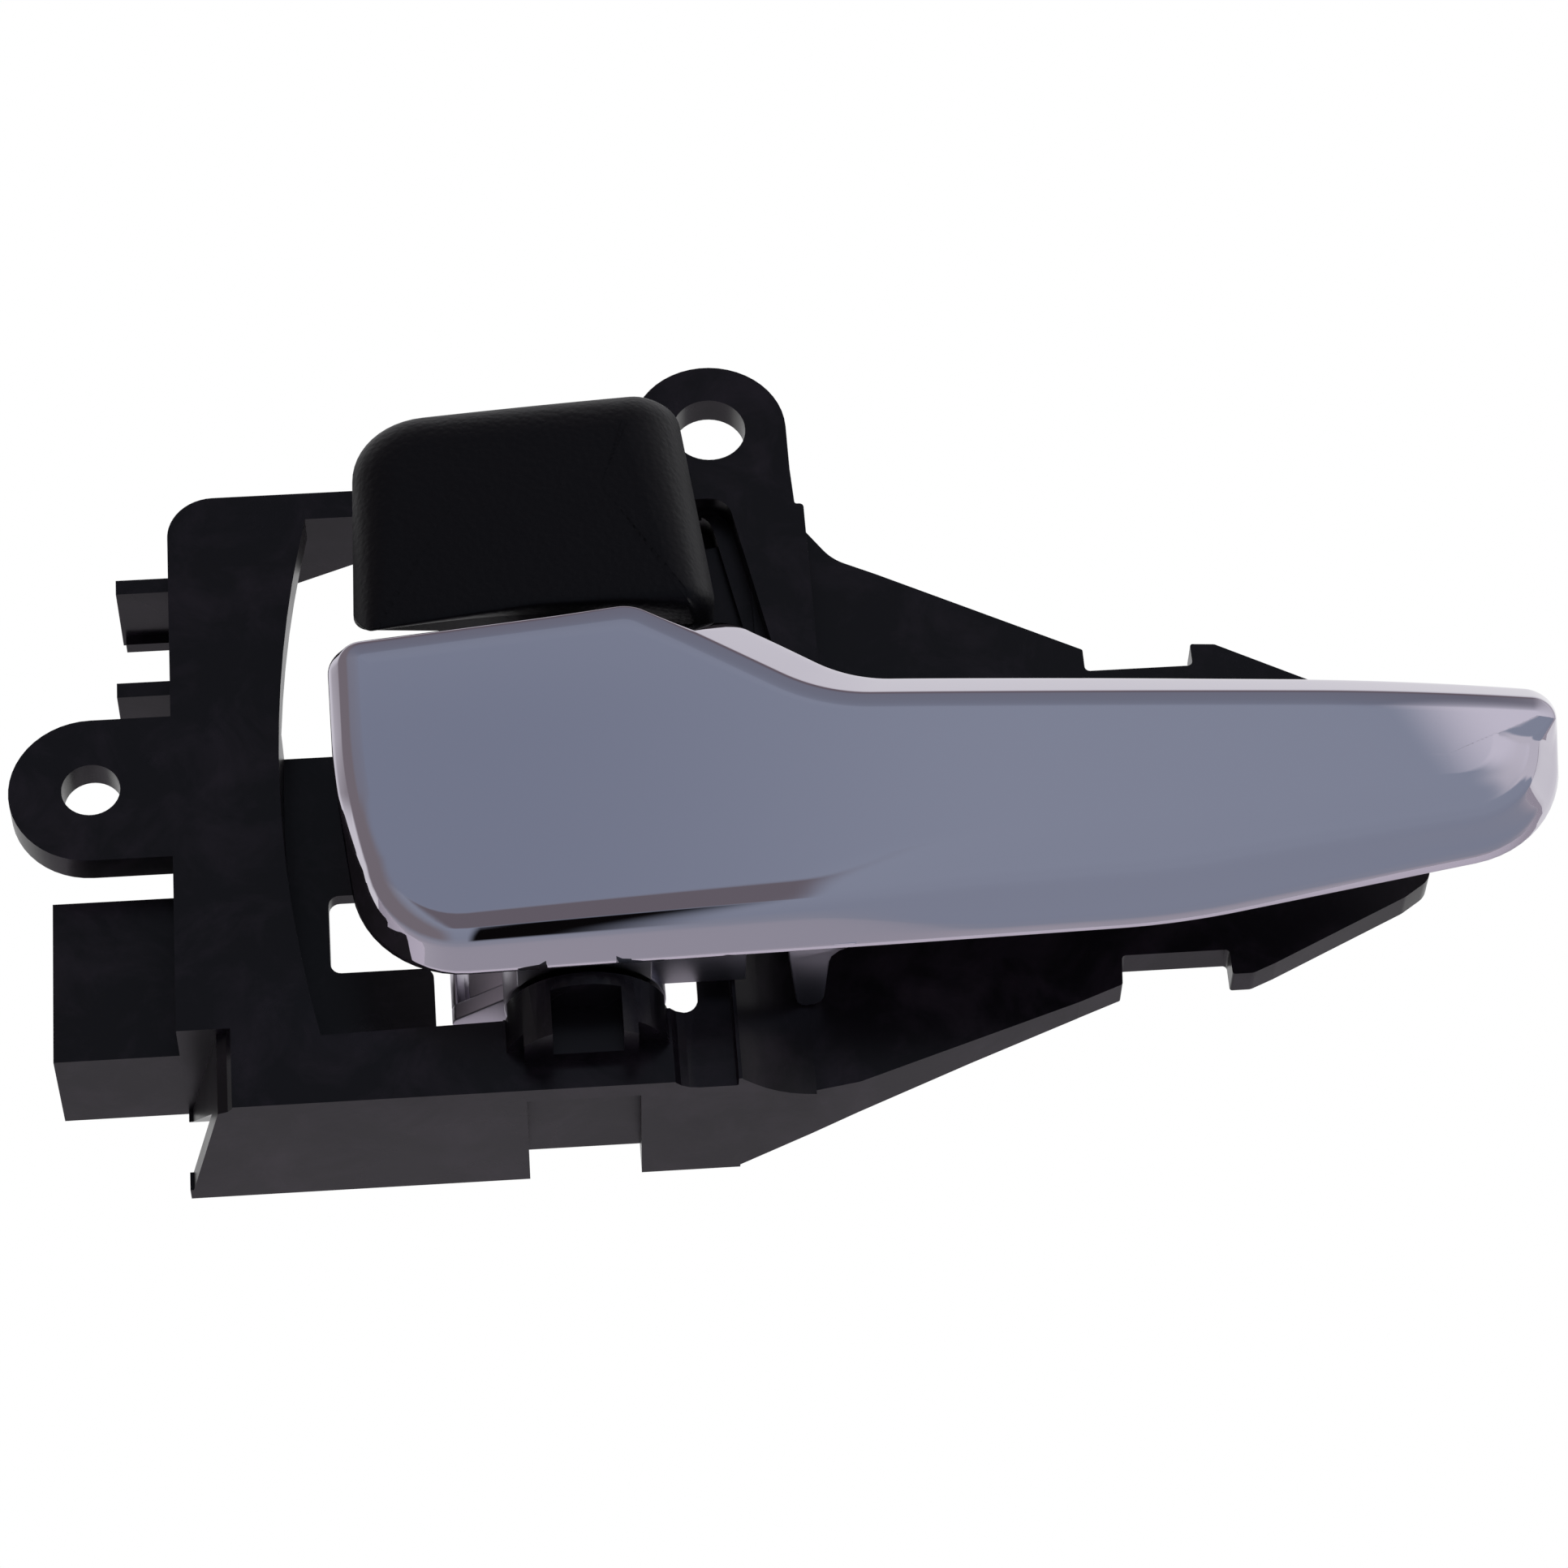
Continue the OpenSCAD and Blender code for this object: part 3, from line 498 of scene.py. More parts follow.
@dataclass
class Studio:
    """Pale floor, a soft lamp and a surrounding that is white ahead and dim blue-grey behind."""

    floor_z: float = -470.0
    floor_size: float = 12000.0
    floor_colour: str = "#E9E7EA"
    floor_roughness: float = 0.9
    # a card over the floor, behind the part, that only the plating mirrors
    card_near: float = 260.0
    card_lift: float = 5.0
    card_colour: str = "#DAD5DC"
    # colours from ahead over the floor (-180), under the camera (-90), level behind it (0), overhead (90)
    stops: tuple[tuple[float, str], ...] = (
        (-180, "#FFFFFF"), (-150, "#F4F3F4"), (-116, "#B9B6BE"), (-98, "#A2A7B3"), (-80, "#9CA4B3"),
        (13, "#A3ACBB"), (26, "#A3ACBB"), (30, "#98A0AF"), (35, "#8B919F"), (46, "#7F7C86"),
        (60, "#7B7076"), (72, "#8A8084"), (80, "#DAD8DC"), (95, "#F2F1F4"), (180, "#FFFFFF"),
    )  # fmt: skip
    # things behind the camera: angles at which each starts and ends, the same across, and its colour
    bars: tuple[tuple[tuple[float, ...], tuple[float, ...], str], ...] = (
        ((-20, -15, 12.5, 15), (-0.2, -0.12, 0.055, 0.11), "#7E787E"),
        ((-98, -90, -22, -16), (-0.04, 0.0, 0.035, 0.075), "#0E0C0D"),
        ((12.5, 15, 23, 30), (-0.6, -0.3, -0.04, 0.12), "#949DAE"),
        ((6, 14, 60, 75), (0.34, 0.6, 4, 5), "#E6E4EA"),
    )
    # dark side of the room to the left: where it starts and ends across, and towards the camera
    left: str = "#8F888C"
    left_ends: Point2 = (-0.14, -0.42)
    left_back: Point2 = (0.25, -0.1)
    # soft round light that the lever's tip mirrors: direction, degrees at which it fades and is gone
    window: str = "#F4F2FA"
    window_at: Point3 = (0.45, -0.77, 0.447)
    window_ends: Point2 = (5.0, 13.0)
    # one lamp overhead: its centre, the point that it faces, side in millimetres and watts
    lamp_at: Point3 = (60.0, 120.0, 900.0)
    lamp_target: Point3 = (60.0, 0.0, 0.0)
    lamp_size: float = 700.0
    lamp_watts: float = 9.0

    def build_world(self) -> None:
        """Makes the world: white to the camera, graded by direction for all other rays.

        Ahead of the camera every ray finds the white background, so metal shows it too. Behind the
        camera lies the dim side of the studio, which the plated face mirrors.
        """
        world = bpy.data.worlds.new("studio")
        bpy.context.scene.world = world
        world.use_nodes = True
        tree = world.node_tree
        tree.nodes.clear()
        direction = add_node(tree, "ShaderNodeTexCoord").outputs["Generated"]
        axes = add_node(tree, "ShaderNodeSeparateXYZ", {"Vector": direction}).outputs
        back = add_node(tree, "ShaderNodeMath", {0: axes["Y"], 1: -1.0}, operation="MULTIPLY")
        turn = add_node(tree, "ShaderNodeMath", {0: axes["Z"], 1: back.outputs["Value"]}, operation="ARCTAN2")
        turn = turn.outputs["Value"]
        ramp = add_node(tree, "ShaderNodeValToRGB", {"Fac": spanned(tree, turn, (-pi, pi), kind="LINEAR")})
        while len(ramp.color_ramp.elements) < len(self.stops):
            ramp.color_ramp.elements.new(0.5)
        for element, (degrees, colour) in zip(ramp.color_ramp.elements, self.stops):
            element.position = (degrees + 180) / 360
            element.color = linear(colour)
        colour = ramp.outputs["Color"]
        for angles, across, tint in self.bars:
            heights = [radians(a) for a in angles]
            sides = [(turn, heights[:2]), (turn, heights[:1:-1]), (axes["X"], across[:2]), (axes["X"], across[:1:-1])]
            colour = self._mix(tree, self._overlap(tree, sides), colour, tint)
        room = self._overlap(tree, [(axes["X"], self.left_ends), (axes["Y"], self.left_back)])
        colour = self._mix(tree, room, colour, self.left)
        aim = tuple(Vector(self.window_at).normalized())
        near = add_node(tree, "ShaderNodeVectorMath", {0: direction, 1: aim}, operation="DOT_PRODUCT")
        fade, gone = (cos(radians(a)) for a in self.window_ends)
        colour = self._mix(tree, spanned(tree, near.outputs["Value"], (gone, fade)), colour, self.window)
        graded = add_node(tree, "ShaderNodeBackground", {"Color": colour, "Strength": 1.0})
        white = add_node(tree, "ShaderNodeBackground", {"Color": linear("#FFFFFF"), "Strength": 1.0})
        ray = add_node(tree, "ShaderNodeLightPath").outputs["Is Camera Ray"]
        shown = add_node(tree, "ShaderNodeMixShader", {0: ray, 1: graded.outputs[0], 2: white.outputs[0]})
        add_node(tree, "ShaderNodeOutputWorld", {"Surface": shown.outputs["Shader"]})

    @staticmethod
    def _overlap(tree: NodeTree, sides: list[tuple]) -> NodeSocket:
        """Mask of the place where several soft spans overlap.

        Args:
            tree: The world's tree.
            sides: Sockets, each with the values at which its span starts and is full.

        Returns:
            Socket of the mask.
        """
        mask, *others = (spanned(tree, value, ends) for value, ends in sides)
        for other in others:
            mask = add_node(tree, "ShaderNodeMath", {0: mask, 1: other}, operation="MULTIPLY").outputs["Value"]
        return mask

    @staticmethod
    def _mix(tree: NodeTree, factor: NodeSocket, under: NodeSocket, tint: str) -> NodeSocket:
        """Mixes a plain colour over another by a factor; 6, 7 and 2 are the node's colour sockets."""
        return add_node(tree, "ShaderNodeMix", {0: factor, 6: under, 7: linear(tint)}, data_type="RGBA").outputs[2]

    def build_plane(self, name: str, near: float, height: float, colour: str) -> Object:
        """Makes one level matt plane of the studio.

        Args:
            name: Name of the plane.
            near: Where its front edge lies along Y, in millimetres.
            height: Its height along Z, in millimetres.
            colour: Its sRGB colour.

        Returns:
            The plane.
        """
        half = self.floor_size / 2
        corners = [(x, y, height) for x, y in ((-half, near), (half, near), (half, half), (-half, half))]
        plane = mesh_object(name, corners, [[0, 1, 2, 3]])
        material, tree = new_material(f"matt_{name}")
        finish_surface(tree, {"Base Color": linear(colour), "Roughness": self.floor_roughness})
        plane.data.materials.append(material)
        return plane

    def build_floor(self) -> None:
        """Makes the pale floor far below the part, and the card behind it that the plating mirrors."""
        floor = self.build_plane("floor", -self.floor_size / 2, self.floor_z, self.floor_colour)
        floor.visible_glossy = False
        card = self.build_plane("card", self.card_near, self.floor_z + self.card_lift, self.card_colour)
        card.visible_camera = card.visible_diffuse = card.visible_shadow = False

    def build_lamp(self) -> None:
        """Makes the square soft lamp, which the plating doesn't mirror."""
        data = bpy.data.lights.new("lamp_above", "AREA")
        data.size = self.lamp_size * MM
        data.energy = self.lamp_watts
        lamp = add_object("lamp_above", data)
        at, to = Vector(self.lamp_at) * MM, Vector(self.lamp_target) * MM
        lamp.matrix_world = Matrix.Translation(at) @ (at - to).to_track_quat("Z", "Y").to_matrix().to_4x4()
        lamp.visible_glossy = False

    def build(self) -> None:
        """Makes the whole studio."""
        self.build_world()
        self.build_floor()
        self.build_lamp()


@dataclass
class Housing:
    """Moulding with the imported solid's own surface and every edge broken by a small radius."""

    edge_radius: float = 0.28
    edge_segments: int = 2
    flat_angle: float = 0.6
    edge_angle: float = 28.0
    weld: float = 0.002

    def build(self, node: Object, name: str = "housing_moulding") -> Object:
        """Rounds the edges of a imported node.

        Args:
            node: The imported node's object.
            name: Name of the result.

        Returns:
            The moulding as a plain mesh.
        """
        copy = add_object(name + "_raw", node.data.copy())
        copy.data.materials.clear()
        with edited(copy.data) as work:
            bmesh.ops.remove_doubles(work, verts=work.verts, dist=self.weld * MM)
            flat = radians(self.flat_angle)
            bmesh.ops.dissolve_limit(work, angle_limit=flat, verts=work.verts, edges=work.edges)
        shade(copy.data, self.edge_angle)
        bevel = soften(copy, self.edge_radius, self.edge_segments, self.edge_angle)
        bevel.miter_outer = "MITER_ARC"
        bevel.use_clamp_overlap = bevel.harden_normals = True
        copy.modifiers.new("normals", "WEIGHTED_NORMAL").keep_sharp = True
        return evaluated_copy(copy, name)


@dataclass
class Shell:
    """Hollow moulding lofted from its front face over a shaped edge to its rim, with an open back.

    An edge profile is a list of (inset from the rear outline, depth behind the face). Each corner
    of the outlines has a share of the bevel profile and a share of the rolled one.
    """

    name: str
    rear: Corners
    face: Corners
    bevel: tuple[float, ...]
    runs: tuple[int, ...]
    spine: tuple[float, float, float, float]
    front: float
    edge: float
    bend: Point2
    centre: Point2
    wall: float
    roll: tuple[Point2, ...]
    reach: tuple[float, ...]
    # flat band beside the crease, its drop, and the reach of the roundings at its crease and outer edge
    band: float = 2.0
    tilt: float = 0.2
    fillet: float = 0.35
    brow: float = 0.3
    # points of each part of the edge's section
    fine: int = 11
    steps: int = 12
    face_rings: int = 12
    rim_soft: float = 0.25
    rim_ahead: float = 8.0
    # distance kept between the edge's end and the rim, and between the two skins behind the bevel
    rim_gap: float = 0.4
    skin_gap: float = 0.5
    # share of the way to the ridge that the face's rings cover
    crown_share: float = 0.985
    # most of the bevel's width that the rounding at the crease and at the outer edge take up
    crease_share: float = 0.4
    outer_share: float = 0.3
    # how gently the flat band beside the crease starts to slope
    ease_power: float = 1.2
    # places of the two rings between the skins at the rim
    rim_shares: Point2 = (0.12, 0.88)
    smooth_angle: float = 38.0

    def rim(self, x: float) -> float:
        """Depth of the rim ahead of the frame's face at a place along X."""
        return self.rim_ahead

    def roll_depth(self, at: Vector) -> float:
        """Depth behind the face that the rolled edge reaches at a place of the outline."""
        return self.edge

    def wall_depth(self, at: Vector) -> float:
        """Depth from the face to just ahead of the rim at a place of the outline."""
        return -self.rim(at.x) - self.rim_gap - self.face_depth(at.x, at.y)

    def roll_profile(self, x: float) -> tuple[Point2, ...]:
        """Section of the rolled edge at a place along X."""
        return self.roll

    def bevel_depth(self, x: float) -> float:
        """Depth of the bevel at a place along X."""
        return self.edge

    def lean(self, rear: Vector, face: Vector) -> Vector:
        """How far the wall leans from the rim's outline to the roll."""
        return Vector((0.0, 0.0))

    def face_depth(self, x: float, z: float) -> float:
        """Depth of the gently crowned front at a place."""
        across, up = x - self.centre[0], z - self.centre[1]
        return self.bend[0] * across**2 + self.bend[1] * up**2 - self.front

    def _ridge(self, p: Vector) -> Vector:
        """Point of the crown's ridge that lies nearest along X."""
        x0, x1, z0, z1 = self.spine
        x = max(x0, min(x1, p.x))
        return Vector((x, z0 + (z1 - z0) * (x - x0) / (x1 - x0)))

    def _bevel_path(self, rear: Vector, face: Vector, way: Vector, depth: float) -> list[tuple[Vector, float]]:
        """Edge with a flat band, a rounding, a straight bevel and a small outer rounding.

        Args:
            rear: Point of the outline at the rim.
            face: Point of the outline at the face.
            way: Direction into the outline.
            depth: Depth of the bevel.

        Returns:
            Points and depths.
        """
        lap = self.crease_lap(rear.x)
        flat = self.band - lap
        slope = self.tilt / self.band
        share = min(self.crease_share, lap / Vector(((rear - face).length, depth)).length)
        steps = [k / self.fine for k in range(self.fine)]
        path = [(face + way * (self.band - flat * t), flat * slope * t**self.ease_power) for t in steps]
        drop = depth - self.tilt
        near, far = ((face.lerp(rear, t), self.tilt + drop * t) for t in (share, 1 - self.outer_share))
        path += self._curve((face + way * lap, flat * slope), (face, self.tilt), near)
        return path + self._curve(far, (rear, depth), (rear, depth + self.brow))

    def _curve(self, *corners: tuple[Vector, float]) -> list[tuple[Vector, float]]:
        """Rounds a corner of the edge's section between two points by a quadratic curve."""
        path = []
        for k in range(self.fine):
            t = k / (self.fine - 1)
            weights = ((1 - t) ** 2, 2 * t * (1 - t), t * t)
            at = sum((place * w for (place, _), w in zip(corners, weights)), Vector((0.0, 0.0)))
            path.append((at, sum(depth * w for (_, depth), w in zip(corners, weights))))
        return path

    def crease_lap(self, x: float) -> float:
        """Reach of the rounding between face and bevel at a place along X."""
        return self.fillet

    def _roll_path(
        self, rear: Vector, way: Vector, lean: Vector, reach: float, depth: float, count: int
    ) -> list[tuple[Vector, float]]:
        """Edge that rolls over in one sweep, smooth through the points of its profile.

        Args:
            rear: Point of the outline at the rim.
            way: Direction of the insets.
            lean: How far the wall leans from the rim to the roll's start.
            reach: Scale of the profile's insets.
            depth: Depth behind the face that the roll ends at.
            count: Number of points.

        Returns:
            Points and depths.
        """
        profile = self.roll_profile(rear.x)
        path = []
        for k in range(count):
            f = k / (count - 1) * (len(profile) - 1)
            i = min(int(f), len(profile) - 2)
            knots = profile[max(0, i - 1)], profile[i], profile[i + 1], profile[min(len(profile) - 1, i + 2)]
            inset_mm, share = (max(0.0, self._spline(*values, f - i)) for values in zip(*knots))
            path.append((rear + way * inset_mm * reach + lean * (1 - share), share * depth))
        return path

    @staticmethod
    def _spline(a: float, b: float, c: float, d: float, t: float) -> float:
        """Smooth value between b (t = 0) and c (t = 1), with a and d beside them."""
        return 0.5 * (2 * b + (c - a) * t + (2 * a - 5 * b + 4 * c - d) * t * t + (3 * b - a - 3 * c + d) * t**3)

    def rings(self, wall: float) -> list[list[Point3]]:
        """Rings from the crown to the end of the edge.

        Args:
            wall: How far the rings are moved in from the outer skin.

        Returns:
            Rings of equal counts, front ring first.
        """
        outer, crease = (through(fillets(inset(c, wall), self.steps), self.runs) for c in (self.rear, self.face))
        flags, reaches = (through([[v] * (self.steps + 1) for v in c], self.runs) for c in (self.bevel, self.reach))
        columns = []
        for i, (o, f, flag, reach) in enumerate(zip(outer, crease, flags, reaches)):
            deep = self.bevel_depth(o.x)
            if wall:
                deep = min(deep + wall / 2, self.wall_depth(o) - wall - self.skin_gap)
            bevel = self._bevel_path(o, f, self._inward(crease, i), deep)
            way, lean = self._inward(outer, i), self.lean(o, f)
            roll = self._roll_path(o, way, lean, reach, self.roll_depth(o) - wall, len(bevel))
            t = 1 - flag
            columns.append([(b[0].lerp(r[0], t), b[1] + (r[1] - b[1]) * t) for b, r in zip(bevel, roll)])
        rings: list[list[Point3]] = []
        for k in range(self.face_rings):
            t = self.crown_share * (1 - k / self.face_rings)
            places = [column[0][0].lerp(self._ridge(column[0][0]), t) for column in columns]
            rings.append([(p.x, self.face_depth(p.x, p.y) + wall, p.y) for p in places])
        for ring in zip(*columns):
            rings.append([(at.x, self.face_depth(at.x, at.y) + wall + deep, at.y) for at, deep in ring])
        rings.append([(o.x, -self.rim(o.x) - self.rim_soft, o.y) for o in outer])
        return rings

    @staticmethod
    def _inward(points: list[Vector], i: int) -> Vector:
        """Direction into a closed outline at one of its points."""
        along = (points[(i + 1) % len(points)] - points[i - 1]).normalized()
        return Vector((along.y, -along.x))

    def build_skin(self) -> tuple[list[Point3], list[list[int]]]:
        """Builds the closed skin: outside, rim and inside.

        Returns:
            Points in millimetres and faces.
        """
        outside, inside = self.rings(0), self.rings(self.wall)
        count = len(outside[0])
        rim_out = [(x, -self.rim(x), z) for x, _, z in outside[-1]]
        rim_in = [(x, -self.rim(x), z) for x, _, z in inside[-1]]
        soft = [[tuple(Vector(o).lerp(Vector(i), t)) for o, i in zip(rim_out, rim_in)] for t in self.rim_shares]
        rings = outside + soft + inside[::-1]
        verts = [p for ring in rings for p in ring]
        faces = ring_faces(count, len(rings))
        faces += self._zip(verts, 0, count, 1) + self._zip(verts, (len(rings) - 1) * count, count, -1)
        return verts, faces

    def build(self) -> Object:
        """Builds the moulding and returns it."""
        shell = mesh_object(self.name, *self.build_skin())
        tidy_normals(shell.data)
        shade(shell.data, self.smooth_angle)
        return shell

    @staticmethod
    def _zip(verts: list[Point3], start: int, count: int, sense: int) -> list[list[int]]:
        """Closes the narrow ring along the ridge by triangles between its upper and lower side.

        Args:
            verts: All points.
            start: Number of the ring's first point.
            count: Points of the ring.
            sense: 1 for the front, -1 for the back.

        Returns:
            Faces of the strip.
        """
        order = sorted(range(count), key=lambda i: verts[start + i][0])
        left, right = order[0], order[-1]
        sides = [[start + (left + way * i) % count for i in range(way * (right - left) % count + 1)] for way in (1, -1)]
        at, faces = [0, 0], []
        while at != [len(side) - 1 for side in sides]:
            ahead = [verts[side[i + 1]][0] if i < len(side) - 1 else inf for side, i in zip(sides, at)]
            k = 0 if ahead[0] <= ahead[1] else 1
            a, b, c = sides[0][at[0]], sides[1][at[1]], sides[k][at[k] + 1]
            if len({a, b, c}) == 3:
                faces.append([a, c, b] if sense > 0 else [a, b, c])
            at[k] += 1
        return faces


@dataclass
class LeverShell(Shell):
    """Plated pull lever: crowned face, bright bevel over the shoulder, rolled lower edge."""

    name: str = "lever_shell"
    front: float = 19.1
    edge: float = 4.8
    grip_edge: float = 4.0
    left_edge: float = 1.9
    bend: Point2 = (0.00022, 0.00059)
    centre: Point2 = (88.0, 60.0)
    # where the grip starts to bend back towards its tip, in which direction and how much
    tip: Point2 = (136.0, -10.0)
    tip_way: Point2 = (0.9, 0.43)
    tip_bend: float = 0.0026
    wall: float = 2.2
    rear: Corners = (
        (27, 7.2, 3.2), (60, 9.15, 60), (71.5, 9.6, 7), (84, 1.1, 16), (161.68, -3.4, 3.4),
        (160, -22.4, 13), (117, -29.5, 90), (29.9, -31, 12), (27.2, -8, 60),
    )  # fmt: skip
    face: Corners = (
        (28.6, 6.9, 2.4), (60.5, 9.5, 5), (67, 5.55, 60), (80.5, -2.9, 20), (160.6, -6.9, 2.4),
        (158.9, -21.2, 12), (117, -26.6, 90), (31.6, -28.6, 9), (28.7, -8, 60),
    )  # fmt: skip
    bevel: tuple[float, ...] = (1.0, 1.0, 1.0, 1.0, 1.0, 0.0, 0.0, 0.0, 1.0)
    reach: tuple[float, ...] = (0.2, 0.2, 0.2, 0.2, 0.25, 0.8, 1.0, 0.7, 0.25)
    runs: tuple[int, ...] = (20, 8, 8, 48, 8, 24, 48, 10, 10)
    spine: tuple[float, float, float, float] = (47.0, 147.7, -10.0, -14.0)
    roll: tuple[Point2, ...] = (
        (8.0, 0.0), (6.8, 0.001), (5.8, 0.005), (5.0, 0.013), (4.2, 0.028), (3.6, 0.047), (3.1, 0.075),
        (2.65, 0.12), (2.3, 0.175), (2.0, 0.24), (1.75, 0.31), (1.55, 0.38), (0.75, 0.7), (0.0, 1.0),
    )  # fmt: skip
    tight: tuple[Point2, ...] = (
        (9.6, 0.0), (8.2, 0.02), (7.0, 0.045), (6.0, 0.07), (5.2, 0.09), (4.6, 0.105), (4.0, 0.14),
        (3.4, 0.19), (2.4, 0.39), (1.5, 0.57), (0.8, 0.7), (0.5, 0.77), (0.3, 0.83), (0.0, 1.0),
    )  # fmt: skip
    tight_x: Point2 = (76.0, 98.0)
    bevel_x: Point2 = (70.0, 90.0)
    left_x: Point2 = (29.0, 50.0)
    lap_x: Point2 = (50.0, 62.0)
    left_lap: float = 0.7

    def roll_depth(self, at: Vector) -> float:
        """The roll of the lever reaches down to the rim."""
        return self.wall_depth(at)

    def roll_profile(self, x: float) -> tuple[Point2, ...]:
        """Section of the rolled edge: broad below the hub, tighter along the grip."""
        t = self.ease(x, self.tight_x)
        return tuple(tuple(Vector(a).lerp(Vector(b), t)) for a, b in zip(self.roll, self.tight))

    def face_depth(self, x: float, z: float) -> float:
        """Depth of the front, which bends back a little more towards the tip."""
        along = (x - self.tip[0]) * self.tip_way[0] + (z - self.tip[1]) * self.tip_way[1]
        return super().face_depth(x, z) + self.tip_bend * max(0.0, along) ** 2

    def bevel_depth(self, x: float) -> float:
        """Depth of the bevel: least at the left edge, most on the shoulder."""
        left = self.left_edge + (self.edge - self.left_edge) * self.ease(x, self.left_x)
        return left + (self.grip_edge - self.edge) * self.ease(x, self.bevel_x)

    def crease_lap(self, x: float) -> float:
        """Reach of the rounding at the crease, wider on the edge below the lock knob."""
        return self.fillet + (self.left_lap - self.fillet) * (1 - self.ease(x, self.lap_x))

    @staticmethod
    def ease(x: float, ends: Point2) -> float:
        """Goes from 0 at the first place to 1 at the second with a soft start and stop."""
        t = max(0.0, min(1.0, (x - ends[0]) / (ends[1] - ends[0])))
        return t * t * (3 - 2 * t)

    def build(self) -> Object:
        """Builds the shell with its lugs, web, cable arm and stop finger, and returns it."""
        return join(super().build(), LeverFrame().build())


@dataclass
class LeverFrame:
    """Parts of the lever behind its shell: two lugs on the pin, web, spine, cable arm and finger."""

    pin: Point2 = (53.0, 2.0)
    hub_r: float = 8.8
    bore_r: float = 3.7
    low: Point2 = (-29.6, -23.0)
    up: Point2 = (-3.0, 5.8)
    arm: Point2 = (-27.0, -19.25)
    arm_turn: float = 54.0
    arm_r: float = 14.0
    # depths at which the upper parts, the spine and the lower parts end inside the shell
    root: float = -15.6
    spine_root: float = -14.2
    low_root: float = -11.1
    cheek: float = 1.5
    lug_back: float = 4.2
    spine_back: float = -12.4
    spine_z: tuple[float, float, float] = (-25.5, -12.0, -11.0)
    web_x: Point2 = (5.0, 17.5)
    web_back: float = -0.5
    web_lift: float = 0.6
    spine_drop: float = 0.4
    finger_z: Point2 = (-0.4, 1.3)
    seat_floor: float = 2.0
    lap: float = 0.1
    seat_r: float = 1.8
    seat_steps: int = 12
    seat_mouth: float = 154.0
    soft_edge: float = 0.3
    soft_segments: int = 3
    soft_angle: float = 32.0
    smooth_angle: float = 34.0

    def build(self) -> Object:
        """Builds every part as a closed body with soft edges and returns them as one object."""
        x, y = self.pin
        low, up, arm = self.low, self.up, self.arm
        half = self.hub_r - self.cheek
        sides, back = (x - half, x + half), y - self.lug_back
        web = (x + self.web_x[0], x + self.web_x[1])
        lower, step, upper = self.spine_z
        bodies = [
            tube(self.pin, self.bore_r, self.hub_r, low),
            tube(self.pin, self.bore_r, self.hub_r, up),
            box(sides, (self.low_root, back), low),
            box(sides, (self.root, back), up),
            box(web, (self.low_root, self.web_back), (low[0] + self.web_lift, low[1])),
            box(sides, (self.spine_root, self.spine_back), (lower, upper)),
            box(sides, (self.root, self.spine_back), (step, up[1] - self.spine_drop)),
            prism(self._finger(), tuple(low[0] + z for z in self.finger_z)),
            prism(self._arm(False), (arm[0], arm[0] + self.seat_floor)),
            prism(self._arm(True), (arm[0] + self.seat_floor - self.lap, arm[1])),
        ]
        first = bodies[0]
        for body in bodies[1:]:
            first = join(first, body)
        first.name = first.data.name = "lever_frame"
        tidy_normals(first.data)
        soften(first, self.soft_edge, self.soft_segments, self.soft_angle)
        result = evaluated_copy(first, "lever_frame")
        shade(result.data, self.smooth_angle)
        return result

    @staticmethod
    def _finger() -> list[Point2]:
        """Plan outline of the stop finger, with a fillet at its root and a round end."""
        return [
            (74.8, -9.0), (82.4, -9.0), (81.8, -8.2), (80.4, -7.3), (79.6, -6.2), (79.35, -5.0), (79.0, 2.6),
            (78.7, 3.5), (78.0, 4.1), (77.1, 4.2), (76.5, 4.1), (76.05, 3.5), (75.9, 2.6), (75.0, -6.0),
        ]  # fmt: skip

    def _arm(self, slotted: bool) -> list[Point2]:
        """Plan outline of the cable arm, with or without the seat of the cable's end."""
        local = [(3.2, 4.6), (3.2, 15.2), (2.6, 16.1), (1.6, 16.5), (-1.6, 16.5), (-2.6, 16.1), (-3.2, 15.2)]
        if slotted:
            turns = [radians(self.seat_mouth * (1 - 2 * k / self.seat_steps)) for k in range(self.seat_steps + 1)]
            seat = [(self.seat_r * cos(a), self.arm_r + self.seat_r * sin(a)) for a in turns]
            local += [(-3.2, self.arm_r + 0.8), *seat, (-3.2, self.arm_r - 0.8)]
        local.append((-3.2, 4.6))
        c, s = cos(radians(self.arm_turn)), sin(radians(self.arm_turn))
        return [(self.pin[0] + c * u - s * v, self.pin[1] + s * u + c * v) for u, v in local]


